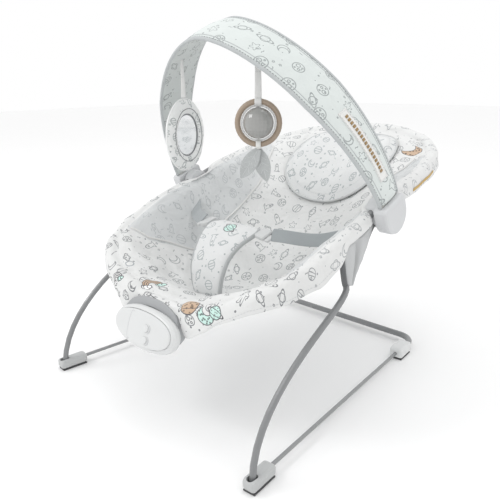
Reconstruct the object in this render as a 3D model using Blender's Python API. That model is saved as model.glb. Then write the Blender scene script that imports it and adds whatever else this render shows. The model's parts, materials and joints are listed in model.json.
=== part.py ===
"""Baby bouncer seat: wire base, sprung legs, fabric sling seat, soothing unit and toy bar.

Metres, +Z up, floor at z = 0. The child's feet point to -Y and the head to +Y; +X is the child's left.
The coordinates below are counted from the front feet; model_origin moves the whole seat back, so that
the world's origin is under the middle of its bounding box.
"""

import math

import bmesh
import bpy
from mathutils import Matrix, Vector

# ---- Driving dimensions -------------------------------------------------------------------------
FRONT_TO_MIDDLE = 0.3142         # from the front feet's bend to the middle of the object's length
GAP = 0.0003                     # clearance between pieces that touch
FRONT_HALF_TRACK = 0.235         # x of the front feet
REAR_HALF_TRACK = 0.196          # x of the rear feet
WHEELBASE = 0.451                # y of the rear feet
WIRE_HEIGHT = 0.012              # centre height of the floor wires
ROD_RADIUS = 0.003
LEG_RADIUS = 0.00475
REAR_TUBE_RADIUS = 0.0057
REAR_TUBE_HEIGHT = 0.0132        # centre height of the rear tube
SEAT_TUBE_RADIUS = 0.006
PAD_THICKNESS = 0.0028           # rubber under each foot
REAR_BEND_RADIUS = 0.030
REAR_TUBE_Y = 0.510
LEG_SWING_ROOM = 0.0034          # slot length before and behind the leg, for its flex
SHOE_OFFSET = 0.0150             # from the leg's foot back to the middle of the shoe
SHOE_SIZE = (0.021, 0.050, 0.0165)
SHOE_PAD_SIZE = (0.019, 0.046, PAD_THICKNESS)
BRACKET_OFFSET = 0.0040          # from the floor rod's end back to the middle of the rear bracket
BRACKET_SIZE = (0.025, 0.044, 0.0195)
BRACKET_PAD_SIZE = (0.023, 0.041, PAD_THICKNESS)

HUB = Vector((0.0, 0.316, 0.306))     # toy bar pivot line, at x = 0
HUB_INNER_X = 0.2015
HUB_OUTER_X = 0.2205
HUB_RADIUS = 0.0235
BOSS_RADIUS = 0.008

BAR_TILT = math.radians(22.8)    # forward lean of the toy bar
BAR_HALF_WIDTH = 0.2323
BAR_HEIGHT = 0.2908
BAR_BASE = Vector((0.0, 0.3129, 0.3190))
BAR_SHAPE = 1.22                 # exponent of the superellipse
BAR_BOW = -0.0224                # forward bow of the crown
BAR_BASE_BREADTH = 0.053
BAR_TOP_BREADTH = 0.088
COVER_THICKNESS = 0.0085
CORE_THICKNESS = 0.0024
CORE_BREADTH = 0.040
CAP_INNER_X = 0.2225
CAP_OUTER_X = 0.2455
CAP_HALF_BREADTH = 0.0295
CAP_TOP = 0.024

UNIT_CENTRE = Vector((0.0, 0.012, 0.150))
UNIT_LEAN = math.radians(20)     # the face looks forward and this much up
FACE_HALF_WIDTH = 0.073
FACE_HALF_HEIGHT = 0.0325
FACE_SHAPE = 2.25
BUTTON_RADIUS = 0.0058
BUTTON_TRAVEL = 0.0015
BUTTON_PLACES = {"button_upper": (0.013, 0.0035), "button_lower": (0.0145, -0.0140)}

SLING_INSET = 0.0150             # from the seat tube's centre line to the sling's rim
SLING_CENTRE_THICKNESS = 0.013
SLING_RIM_THICKNESS = 0.006

# The seat tube's centre line on the +X side: the front half up to the hub, and the back half from it.
FRONT_RAIL = [
    (0.000, 0.050, 0.180), (0.072, 0.051, 0.186), (0.130, 0.058, 0.203), (0.168, 0.077, 0.222),
    (0.192, 0.106, 0.238), (0.206, 0.148, 0.255), (0.212, 0.205, 0.277), (0.213, 0.260, 0.297),
    (0.211, 0.305, 0.3105),
]
BACK_RAIL = [
    (0.211, 0.327, 0.3165), (0.2115, 0.375, 0.331), (0.209, 0.435, 0.345), (0.201, 0.492, 0.358),
    (0.184, 0.543, 0.369), (0.154, 0.583, 0.381), (0.112, 0.610, 0.391), (0.060, 0.627, 0.398),
    (0.000, 0.633, 0.400),
]

# Cross-sections of the sling from the front edge to the head edge: rail half-width, y and z; then the
# sling's y and z on the centre line; then the exponent that rounds the section.
SLING_STATIONS = [
    (0.156, 0.073, 0.214, 0.066, 0.177, 2.0),
    (0.191, 0.107, 0.237, 0.100, 0.156, 2.8),
    (0.206, 0.147, 0.253, 0.146, 0.144, 2.7),
    (0.212, 0.200, 0.276, 0.200, 0.137, 2.6),
    (0.213, 0.256, 0.295, 0.258, 0.131, 2.8),
    (0.211, 0.316, 0.313, 0.325, 0.170, 2.7),
    (0.211, 0.375, 0.331, 0.385, 0.215, 2.5),
    (0.209, 0.435, 0.345, 0.448, 0.265, 2.3),
    (0.201, 0.492, 0.358, 0.510, 0.315, 2.2),
    (0.184, 0.543, 0.369, 0.568, 0.357, 2.0),
    (0.150, 0.587, 0.382, 0.616, 0.390, 2.0),
]

LEG_CURVE = [(0.235, 0.0, 0.0095), (0.226, 0.010, 0.144), (0.243, 0.207, 0.197), (0.219, 0.223, 0.213)]
LEG_TOP_CURVE = [(0.219, 0.223, 0.213), (0.2155, 0.232, 0.2195), (0.212, 0.268, 0.258),
                 (0.212, 0.3005, 0.2905)]
SIDES = {"left": 1, "right": -1}


# ---- Scene, materials and objects ---------------------------------------------------------------
for leftover in list(bpy.data.objects):
    bpy.data.objects.remove(leftover, do_unlink=True)


def make_material(name, colour, roughness, metallic=0.0):
    made = bpy.data.materials.new(name)
    made.use_nodes = True
    shader = made.node_tree.nodes["Principled BSDF"]
    shader.inputs["Base Color"].default_value = (*colour, 1.0)
    shader.inputs["Roughness"].default_value = roughness
    shader.inputs["Metallic"].default_value = metallic
    made.diffuse_color = (*colour, 1.0)
    return made


def make_empty(name, location, parent=None, turn_x=0.0):
    empty = bpy.data.objects.new(name, None)
    empty.empty_display_size = 0.03
    empty.parent = parent
    empty.location = location
    empty.rotation_euler = (turn_x, 0.0, 0.0)
    bpy.context.collection.objects.link(empty)
    return empty


MODEL = make_empty("model_origin", (0.0, -FRONT_TO_MIDDLE, 0.0))


def place(name, bm, parent, origin=(0.0, 0.0, 0.0), look=None, smooth=35.0, helper=False):
    """Turns a bmesh, built in its parent's frame, into an object whose own origin is at origin."""
    origin = Vector(origin)
    bmesh.ops.recalc_face_normals(bm, faces=bm.faces)
    bmesh.ops.translate(bm, verts=bm.verts, vec=-origin)
    mesh = bpy.data.meshes.new(name)
    bm.to_mesh(mesh)
    bm.free()
    mesh.shade_smooth()
    mesh.set_sharp_from_angle(angle=math.radians(smooth))
    made = bpy.data.objects.new(name, mesh)
    made.parent = parent
    made.location = origin
    bpy.context.collection.objects.link(made)
    if helper:
        made.hide_render = True
        made.display_type = "WIRE"
    else:
        mesh.materials.append(make_material(name, *look))
    return made


def cut(target, cutter_name, bm):
    """Subtracts a closed shape, built in the target's parent's frame, from target."""
    cutter = place(cutter_name, bm, target.parent, helper=True)
    modifier = target.modifiers.new(cutter_name, "BOOLEAN")
    modifier.operation = "DIFFERENCE"
    modifier.solver = "EXACT"
    modifier.object = cutter


# ---- Shape helpers ------------------------------------------------------------------------------
def mirrored(point, side):
    return Vector((point[0] * side, point[1], point[2]))


def bezier(controls, count):
    a, b, c, d = (Vector(p) for p in controls)
    points = []
    for i in range(count + 1):
        t = i / count
        r = 1.0 - t
        points.append(a * r ** 3 + b * 3 * r * r * t + c * 3 * r * t * t + d * t ** 3)
    return points


def smooth_through(controls, per_span):
    """Points on a Catmull-Rom curve through the controls, which may hold any number of columns."""
    rows = [list(c) for c in controls]
    rows = [[2 * a - b for a, b in zip(rows[0], rows[1])]] + rows
    rows = rows + [[2 * a - b for a, b in zip(rows[-1], rows[-2])]]
    found = []
    for i in range(1, len(rows) - 2):
        for k in range(per_span):
            t = k / per_span
            found.append([
                0.5 * (2 * p1 + (p2 - p0) * t + (2 * p0 - 5 * p1 + 4 * p2 - p3) * t * t
                       + (3 * p1 - p0 - 3 * p2 + p3) * t ** 3)
                for p0, p1, p2, p3 in zip(*rows[i - 1:i + 3])
            ])
    found.append(rows[-2])
    return found


def loft(rings, loop=False):
    """Skins rings of points, each with the same count, and caps both ends unless they form a loop."""
    bm = bmesh.new()
    rows = [[bm.verts.new(p) for p in ring] for ring in rings]
    count = len(rows[0])
    for i in range(len(rows) if loop else len(rows) - 1):
        low, high = rows[i], rows[(i + 1) % len(rows)]
        for k in range(count):
            n = (k + 1) % count
            bm.faces.new((low[k], low[n], high[n], high[k]))
    if not loop:
        bm.faces.new(rows[0][::-1])
        bm.faces.new(rows[-1])
    return bm


def sweep(points, radius, sides=12):
    """A round tube along points, turned as little as possible from one ring to the next."""
    points = [Vector(p) for p in points]
    tangents = []
    for i, point in enumerate(points):
        ahead = points[min(i + 1, len(points) - 1)]
        behind = points[max(i - 1, 0)]
        tangents.append((ahead - behind).normalized())
    across = tangents[0].orthogonal().normalized()
    rings = []
    for point, tangent in zip(points, tangents):
        across = (across - tangent * across.dot(tangent)).normalized()
        other = tangent.cross(across)
        rings.append([
            point + (across * math.cos(a) + other * math.sin(a)) * radius
            for a in (2 * math.pi * k / sides for k in range(sides))
        ])
    return loft(rings)


def prism(outline, low, high, axis="x"):
    """Extrudes an outline of (y, z) points along x, or of (x, y) points along z."""
    if axis == "x":
        return loft([[(depth, a, b) for a, b in outline] for depth in (low, high)])
    return loft([[(a, b, depth) for a, b in outline] for depth in (low, high)])


def rounded_box(size, centre, bevel, segments=2):
    bm = bmesh.new()
    bmesh.ops.create_cube(bm, size=1.0)
    bmesh.ops.scale(bm, verts=bm.verts, vec=size)
    bmesh.ops.translate(bm, verts=bm.verts, vec=centre)
    bmesh.ops.bevel(bm, geom=list(bm.edges), offset=bevel, segments=segments, affect="EDGES",
                    profile=0.5)
    return bm


def oval(half_x, half_y, count=40, shape=FACE_SHAPE, centre_y=0.0):
    """Points round a superellipse in the XY plane."""
    points = []
    for k in range(count):
        c = math.cos(2 * math.pi * k / count)
        s = math.sin(2 * math.pi * k / count)
        points.append((
            half_x * math.copysign(abs(c) ** (2 / shape), c),
            centre_y + half_y * math.copysign(abs(s) ** (2 / shape), s),
        ))
    return points


def turned(profile, sides=20):
    """A solid of revolution about z from (radius, z) points listed from one end to the other."""
    rings = [
        [(r * math.cos(a), r * math.sin(a), z)
         for a in (2 * math.pi * k / sides for k in range(sides))]
        for r, z in profile
    ]
    return loft(rings)


ORIGIN = Vector((0, 0, 0))


def moved(bm, offset, turn=None):
    """Turns a shape about the origin, then shifts it."""
    if turn is not None:
        bmesh.ops.rotate(bm, verts=bm.verts, cent=ORIGIN, matrix=turn)
    bmesh.ops.translate(bm, verts=bm.verts, vec=offset)
    return bm


TURN_TO_X = Matrix.Rotation(math.radians(90), 3, "Y")

# ---- Looks: colour, roughness, metallic ----------------------------------------------------------
PAINTED_TUBE = ((0.36, 0.37, 0.38), 0.38, 0.6)
FLOOR_WIRE = ((0.46, 0.47, 0.48), 0.35, 0.7)
SHOE_GREY = ((0.72, 0.73, 0.73), 0.5)
BRACKET_WHITE = ((0.84, 0.85, 0.85), 0.45)
RUBBER = ((0.30, 0.30, 0.31), 0.85)
HUB_PLASTIC = ((0.76, 0.77, 0.78), 0.45)
STEEL = ((0.6, 0.6, 0.6), 0.3, 1.0)
SEAT_FABRIC = ((0.86, 0.87, 0.87), 0.9)
GUSSET_FABRIC = ((0.68, 0.69, 0.69), 0.9)
PAD_FABRIC = ((0.88, 0.89, 0.89), 0.9)
WEBBING = ((0.58, 0.61, 0.62), 0.85)
BUCKLE_PLASTIC = ((0.80, 0.81, 0.81), 0.4)
UNIT_WHITE = ((0.87, 0.88, 0.88), 0.35)
UNIT_GREY = ((0.70, 0.71, 0.72), 0.45)
BOARD_GREEN = ((0.05, 0.25, 0.12), 0.5)
BATTERY_SLEEVE = ((0.15, 0.17, 0.20), 0.4)
DARK_PLASTIC = ((0.08, 0.08, 0.09), 0.5)
COVER_FABRIC = ((0.76, 0.80, 0.78), 0.9)
CORE_PLASTIC = ((0.85, 0.85, 0.83), 0.5)
RING_TAN = ((0.62, 0.51, 0.40), 0.45)
BALL_GREY = ((0.40, 0.39, 0.38), 0.25)
CLEAR_WHITE = ((0.85, 0.86, 0.86), 0.2)
LEAF_GREY = ((0.50, 0.52, 0.52), 0.9)
MIRROR_SILVER = ((0.8, 0.8, 0.8), 0.05, 1.0)

# ---- Joint empties ------------------------------------------------------------------------------
BOUNCE = make_empty("bounce_axis", (0.0, 0.0, WIRE_HEIGHT), MODEL)
SEAT = make_empty("seat_frame", (0.0, 0.0, -WIRE_HEIGHT), BOUNCE)
BAR = make_empty("toy_bar_axis", HUB, SEAT, turn_x=BAR_TILT)
UNIT = make_empty("unit_frame", UNIT_CENTRE, SEAT, turn_x=math.radians(90) - UNIT_LEAN)


# ---- Floor base ---------------------------------------------------------------------------------
def foot_frame(side):
    """Where a floor rod starts, and its direction, on one side."""
    start = Vector((FRONT_HALF_TRACK * side, 0.0, WIRE_HEIGHT))
    end = Vector((REAR_HALF_TRACK * side, WHEELBASE, WIRE_HEIGHT))
    return start, (end - start).normalized(), (end - start).length


def along_rod(bm, side, distance):
    """Turns a shape built along +Y round to the rod's heading, and moves it along the rod."""
    start, heading, _ = foot_frame(side)
    turn = Matrix.Rotation(math.atan2(-heading.x, heading.y), 3, "Z")
    return moved(bm, Vector((start.x, start.y, 0.0)) + Vector((heading.x, heading.y, 0)) * distance, turn)


def make_floor_base():
    bend = []
    for k in range(7):
        angle = math.radians(90 * k / 6)
        bend.append(Vector((
            REAR_HALF_TRACK - REAR_BEND_RADIUS * (1 - math.cos(angle)),
            REAR_TUBE_Y - REAR_BEND_RADIUS * (1 - math.sin(angle)),
            REAR_TUBE_HEIGHT,
        )))
    start = Vector((REAR_HALF_TRACK, WHEELBASE + 0.006, REAR_TUBE_HEIGHT))
    left_half = [start] + bend
    right_half = [mirrored(p, -1) for p in reversed(left_half)]
    place("rear_tube", sweep(left_half + right_half, REAR_TUBE_RADIUS), MODEL, look=PAINTED_TUBE)

    for name, side in SIDES.items():
        start, heading, length = foot_frame(side)
        rod = sweep([start + heading * 0.012, start + heading * (length - 0.004)], ROD_RADIUS, 10)
        place("floor_rod_" + name, rod, MODEL, look=FLOOR_WIRE)

        shoe = rounded_box(SHOE_SIZE, (0, 0, PAD_THICKNESS + GAP + SHOE_SIZE[2] / 2), 0.0045, 2)
        shoe = place("front_shoe_" + name, along_rod(shoe, side, SHOE_OFFSET), MODEL, look=SHOE_GREY)
        slot_outline = [
            (x, y + math.copysign(LEG_SWING_ROOM, y))
            for x, y in oval(LEG_RADIUS + 0.0010, LEG_RADIUS + GAP, 20, 2.0)
        ]
        slot = moved(prism(slot_outline, 0.0062, 0.04, "z"), (start.x, start.y, 0))
        cut(shoe, "leg_slot_" + name, slot)
        rod_hole = sweep([start + heading * 0.0115, start + heading * 0.08], ROD_RADIUS + GAP, 10)
        cut(shoe, "rod_hole_" + name, rod_hole)
        pad = rounded_box(SHOE_PAD_SIZE, (0, 0, PAD_THICKNESS / 2), 0.0007, 1)
        place("front_pad_" + name, along_rod(pad, side, SHOE_OFFSET), MODEL, look=RUBBER)

        bracket = rounded_box(BRACKET_SIZE, (0, 0, PAD_THICKNESS + GAP + BRACKET_SIZE[2] / 2), 0.004, 2)
        bracket = place("rear_bracket_" + name, along_rod(bracket, side, length + BRACKET_OFFSET), MODEL,
                        look=BRACKET_WHITE)
        rod_hole = sweep([start + heading * (length - 0.05), start + heading * (length - 0.0035)],
                         ROD_RADIUS + GAP, 10)
        cut(bracket, "rear_rod_hole_" + name, rod_hole)
        tube_hole = sweep(
            [mirrored((REAR_HALF_TRACK, y, REAR_TUBE_HEIGHT), side)
             for y in (WHEELBASE + 0.0055, WHEELBASE + 0.0300)],
            REAR_TUBE_RADIUS + GAP, 12)
        cut(bracket, "rear_tube_hole_" + name, tube_hole)
        pad = rounded_box(BRACKET_PAD_SIZE, (0, 0, PAD_THICKNESS / 2), 0.0007, 1)
        place("rear_pad_" + name, along_rod(pad, side, length + BRACKET_OFFSET), MODEL, look=RUBBER)


# ---- Seat frame ---------------------------------------------------------------------------------
def rail_curve(controls, per_span=3):
    """The whole tube from one end to the other, from the half on the +X side."""
    half = [Vector(p) for p in smooth_through(controls, per_span)]
    if controls[0][0] == 0.0:
        half.reverse()
    return half + [mirrored(p, -1) for p in reversed(half[:-1])]


def leg_path(side):
    lower = bezier(LEG_CURVE, 16)
    upper = bezier(LEG_TOP_CURVE, 6)
    return [mirrored(p, side) for p in lower + upper[1:]]


def make_seat_frame():
    front_path = rail_curve(FRONT_RAIL)
    back_path = rail_curve(BACK_RAIL)
    place("seat_front_tube", sweep(front_path, SEAT_TUBE_RADIUS, 10), SEAT, look=PAINTED_TUBE)
    place("seat_back_tube", sweep(back_path, SEAT_TUBE_RADIUS, 10), SEAT, look=PAINTED_TUBE)

    for name, side in SIDES.items():
        place("leg_" + name, sweep(leg_path(side), LEG_RADIUS, 10), SEAT,
              origin=(0.0, 0.0, WIRE_HEIGHT), look=PAINTED_TUBE)

        disc = [(HUB.y + y, HUB.z + z) for y, z in oval(HUB_RADIUS, HUB_RADIUS, 28, 2.0)]
        boss = [(HUB.y + y, HUB.z + z) for y, z in oval(BOSS_RADIUS, BOSS_RADIUS, 28, 2.0)]
        rings = [
            [(x * side, y, z) for y, z in ring]
            for x, ring in ((HUB_INNER_X, disc), (HUB_OUTER_X, disc), (HUB_OUTER_X, boss),
                            (CAP_OUTER_X - 0.006, boss))
        ]
        hub = place("side_hub_" + name, loft(rings), SEAT, look=HUB_PLASTIC)
        for label, path, radius in (
            ("front_socket_", front_path, SEAT_TUBE_RADIUS),
            ("back_socket_", back_path, SEAT_TUBE_RADIUS),
            ("leg_socket_", leg_path(1), LEG_RADIUS),
        ):
            near_end = [mirrored(p, side) for p in path if p.x > 0 and (p - HUB).yz.length < 0.06]
            near_end.sort(key=lambda p: (p - HUB).yz.length)
            inward = (near_end[0] - near_end[1]).normalized() * 0.0008
            cut(hub, label + name, sweep([near_end[0] + inward] + near_end, radius + GAP, 10))
        screw_hole = turned([(0.0022, HUB_INNER_X - 0.01), (0.0022, HUB_INNER_X + 0.0115)], 12)
        cut(hub, "screw_hole_" + name, moved(screw_hole, (0, HUB.y, HUB.z), TURN_TO_X * side))
        screw = turned([
            (0.0025, HUB_INNER_X - 0.0024), (0.0042, HUB_INNER_X - 0.0014), (0.0042, HUB_INNER_X - GAP),
            (0.0019, HUB_INNER_X - GAP), (0.0019, HUB_INNER_X + 0.011),
        ], 12)
        place("hub_screw_" + name, moved(screw, (0, HUB.y, HUB.z), TURN_TO_X * side), SEAT, look=STEEL)


# ---- Fabric seat --------------------------------------------------------------------------------
STATIONS = smooth_through(SLING_STATIONS, 2)


def sling_point(station, f):
    """The sling's middle surface: f runs from -1 at the right rim through 0 to 1 at the left rim."""
    rail_x, rail_y, rail_z, mid_y, mid_z, shape = STATIONS[station]
    share = abs(f) ** shape
    return Vector((
        (rail_x - SLING_INSET) * f,
        mid_y + (rail_y - mid_y) * f * f,
        mid_z + (rail_z - mid_z) * share,
    ))


def sling_normal(station, f):
    before = max(station - 1, 0)
    after = min(station + 1, len(STATIONS) - 1)
    along = sling_point(after, f) - sling_point(before, f)
    across = sling_point(station, min(f + 0.02, 1.0)) - sling_point(station, max(f - 0.02, -1.0))
    return across.cross(along).normalized()


def sling_thickness(f):
    return SLING_RIM_THICKNESS + (SLING_CENTRE_THICKNESS - SLING_RIM_THICKNESS) * (1 - f ** 4)


def make_sling():
    columns = 16
    steps = [-1 + 2 * k / columns for k in range(columns + 1)]
    rings = []
    for station in range(len(STATIONS)):
        top = []
        bottom = []
        for f in steps:
            point = sling_point(station, f)
            lift = sling_normal(station, f) * sling_thickness(f) / 2
            top.append(point + lift)
            bottom.append(point - lift)
        rings.append(top + bottom[::-1])
    place("seat_sling", loft(rings), SEAT, look=SEAT_FABRIC, smooth=60)


def sling_top(x, y):
    """Height of the sling's upper face over (x, y)."""
    best = None
    for station in range(len(STATIONS)):
        f = max(-1.0, min(1.0, x / (STATIONS[station][0] - SLING_INSET)))
        point = sling_point(station, f) + sling_normal(station, f) * sling_thickness(f) / 2
        if best and point.y >= y:
            share = (y - best.y) / (point.y - best.y)
            return best.z + (point.z - best.z) * share
        best = point
    return best.z


GUSSET_OUTLINE = [  # y, z
    (0.2165, 0.2705), (0.2215, 0.2125), (0.2345, 0.2105), (0.3140, 0.2790), (0.2900, 0.2920),
]
GUSSET_HALF_THICKNESS = 0.0084
GUSSET_LOW = (0.2190, 0.2130)        # x of its middle, and z, where the leg enters it
GUSSET_HIGH = (0.2120, 0.2900)       # the same at the hub


def make_gussets():
    """The fabric sleeve that covers each leg's top between the rail and the hub."""
    for name, side in SIDES.items():
        rings = []
        for offset in (-GUSSET_HALF_THICKNESS, GUSSET_HALF_THICKNESS):
            ring = []
            for y, z in GUSSET_OUTLINE:
                share = (z - GUSSET_LOW[1]) / (GUSSET_HIGH[1] - GUSSET_LOW[1])
                middle = GUSSET_LOW[0] + (GUSSET_HIGH[0] - GUSSET_LOW[0]) * share
                ring.append((side * (middle + offset), y, z))
            rings.append(ring)
        gusset = place("gusset_" + name, loft(rings), SEAT, look=GUSSET_FABRIC)
        cut(gusset, "gusset_leg_" + name, sweep(leg_path(side), LEG_RADIUS + 2 * GAP, 10))
        disc = [(HUB.y + y, HUB.z + z) for y, z in oval(HUB_RADIUS + 0.001, HUB_RADIUS + 0.001, 24, 2.0)]
        cut(gusset, "gusset_hub_" + name, prism(disc, side * 0.19, side * 0.24))


PILLOW_HALF_WIDTH = 0.114
PILLOW_HALF_LENGTH = 0.078
PILLOW_Y = 0.517
PILLOW_DISH_HEIGHT = 0.014           # in its hollow
PILLOW_LOBE_RISE = 0.024             # the lobes' extra height
PILLOW_LOBE_X = 0.085
PILLOW_EDGE = 0.003                  # thickness at the edge, and clearance to the sling


def make_head_pillow():
    """A dished head support: thin in the middle, with a thick lobe on each side."""
    rings_count, spokes = 7, 32
    rim = oval(1.0, 1.0, spokes, 2.6)

    def height(rho, x):
        lobe = min(1.0, abs(x) / PILLOW_LOBE_X) ** 2
        return (1 - rho ** 3.2) * (PILLOW_DISH_HEIGHT + PILLOW_LOBE_RISE * lobe) + PILLOW_EDGE

    bm = bmesh.new()
    tops, bottoms = [], []
    for i in range(1, rings_count + 1):
        rho = i / rings_count
        top, bottom = [], []
        for a, b in rim:
            x = PILLOW_HALF_WIDTH * rho * a
            y = PILLOW_Y + PILLOW_HALF_LENGTH * rho * b
            base = sling_top(x, y) + PILLOW_EDGE
            top.append(bm.verts.new((x, y, base + height(rho, x))))
            bottom.append(bm.verts.new((x, y, base)))
        tops.append(top)
        bottoms.append(bottom)
    base = sling_top(0.0, PILLOW_Y) + PILLOW_EDGE
    top_centre = bm.verts.new((0, PILLOW_Y, base + height(0.0, 0.0)))
    bottom_centre = bm.verts.new((0, PILLOW_Y, base))
    for k in range(spokes):
        n = (k + 1) % spokes
        bm.faces.new((top_centre, tops[0][k], tops[0][n]))
        bm.faces.new((bottom_centre, bottoms[0][n], bottoms[0][k]))
        for i in range(rings_count - 1):
            bm.faces.new((tops[i][k], tops[i + 1][k], tops[i + 1][n], tops[i][n]))
            bm.faces.new((bottoms[i][k], bottoms[i][n], bottoms[i + 1][n], bottoms[i + 1][k]))
        bm.faces.new((tops[-1][k], bottoms[-1][k], bottoms[-1][n], tops[-1][n]))
    place("head_pillow", bm, SEAT, look=PAD_FABRIC, smooth=60)


CROTCH_PROFILE = [  # y, z, half-width
    (0.1460, 0.1605, 0.028), (0.1440, 0.1850, 0.034), (0.1480, 0.2100, 0.037), (0.1600, 0.2330, 0.040),
    (0.1790, 0.2510, 0.046), (0.2020, 0.2620, 0.052), (0.2240, 0.2680, 0.052),
]
CROTCH_THICKNESS = 0.018
STRAP_THICKNESS = 0.0022
STRAP_BREADTH = 0.024
STRAP_ROUTE = [  # from the buckle out to the slot in the sling's side
    (0.094, 0.2220, 0.2660), (0.112, 0.2330, 0.2640), (0.132, 0.2460, 0.2620), (0.148, 0.2580, 0.2620),
    (0.162, 0.2700, 0.2660),
]


def make_crotch_pad():
    rows = smooth_through(CROTCH_PROFILE, 2)
    rings = []
    for i, (y, z, half) in enumerate(rows):
        ahead = rows[min(i + 1, len(rows) - 1)]
        behind = rows[max(i - 1, 0)]
        along = Vector((0, ahead[0] - behind[0], ahead[1] - behind[1])).normalized()
        outward = along.cross(Vector((1, 0, 0)))
        end_share = min(i, len(rows) - 1 - i) / 2
        thickness = CROTCH_THICKNESS * min(1.0, 0.55 + 0.45 * end_share)
        rings.append([
            Vector((a, y, z)) + outward * b
            for a, b in oval(half, thickness / 2, 16, 3.2)
        ])
    place("crotch_pad", loft(rings), SEAT, look=PAD_FABRIC, smooth=60)


def strap_mesh(route, breadth, thickness, breadth_axis):
    """A flat strap along a route: breadth_axis says which way its width lies."""
    points = [Vector(p) for p in smooth_through(route, 3)]
    wide = Vector(breadth_axis).normalized()
    rings = []
    for i, point in enumerate(points):
        along = (points[min(i + 1, len(points) - 1)] - points[max(i - 1, 0)]).normalized()
        flat = along.cross(wide).normalized()
        level = flat.cross(along).normalized()
        rings.append([
            point + level * (a * breadth / 2) + flat * (b * thickness / 2)
            for a, b in ((-1, -1), (1, -1), (1, 1), (-1, 1))
        ])
    return loft(rings)


def make_harness():
    make_crotch_pad()
    slant = Vector((0, 0.80, 0.60)).normalized()
    for name, side in SIDES.items():
        socket = rounded_box((0.020, 0.026, 0.009), ORIGIN, 0.0022, 1)
        turn = Matrix.Rotation(math.radians(14), 3, "X") @ Matrix.Rotation(math.radians(12 * side), 3, "Y")
        socket_centre = Vector((0.0655 * side, 0.2130, 0.2655))
        socket = place("buckle_socket_" + name, moved(socket, socket_centre, turn), SEAT,
                       look=BUCKLE_PLASTIC)
        bore = rounded_box((0.014, 0.0165, 0.0044), (0.0045 * side, 0, 0), 0.0008, 1)
        cut(socket, "socket_bore_" + name, moved(bore, socket_centre, turn))
        tongue = rounded_box((0.0110, 0.0155, 0.0034), (0.0040 * side, 0, 0), 0.0006, 1)
        bar = rounded_box((0.0080, 0.0260, 0.0048), (0.0150 * side, 0, 0), 0.0012, 1)
        joined = bmesh.new()
        for piece in (tongue, bar):
            mesh = bpy.data.meshes.new("joined")
            piece.to_mesh(mesh)
            piece.free()
            joined.from_mesh(mesh)
            bpy.data.meshes.remove(mesh)
        tongue_mesh = moved(joined, socket_centre, turn)
        tongue_object = place("buckle_tongue_" + name, tongue_mesh, SEAT, look=BUCKLE_PLASTIC)
        joining = tongue_object.modifiers.new("join", "BOOLEAN")
        joining.operation = "UNION"
        joining.solver = "EXACT"
        joining.use_self = True
        neck = rounded_box((0.0090, 0.0100, 0.0030), (0.0105 * side, 0, 0), 0.0004, 1)
        joining.object = place("tongue_neck_" + name, moved(neck, socket_centre, turn), SEAT, helper=True)
        route = [mirrored(p, side) for p in STRAP_ROUTE]
        place("waist_strap_" + name, strap_mesh(route, STRAP_BREADTH, STRAP_THICKNESS, slant), SEAT,
              look=WEBBING)


# ---- Soothing unit, built with its face towards +Z ------------------------------------------------
def oval_shell(profile, count=40, centre_y=0.0, half=(FACE_HALF_WIDTH, FACE_HALF_HEIGHT)):
    """A closed wall that runs round the oval: profile lists (inset, z), in a loop."""
    rings = [
        [(x, y, z) for x, y in oval(half[0] - inset, half[1] - inset, count, centre_y=centre_y)]
        for inset, z in profile
    ]
    return loft(rings, loop=True)


REAR_HALF = (0.0645, 0.0360)
REAR_CENTRE = (-0.0045, 0.0095)      # the rear shell sits off centre under the front shell
DOOR_HALF = (0.0265, 0.0150)
DOOR_CENTRE = (-0.0160, 0.0070)
DOOR_OUTER_Z = -0.0402
DOOR_INNER_Z = -0.0370
CELL_RADIUS = 0.00725
CELL_LENGTH = 0.0505
CELL_Z = -0.0284
MOTOR_CENTRE = Vector((0.0300, 0.0070, -0.0262))
MOTOR_RADIUS = 0.0098


def to_unit(point):
    """A point of the seat's frame in the unit's own frame."""
    lean = Matrix.Rotation(UNIT_LEAN - math.radians(90), 3, "X")
    return lean @ (Vector(point) - UNIT_CENTRE)


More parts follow.
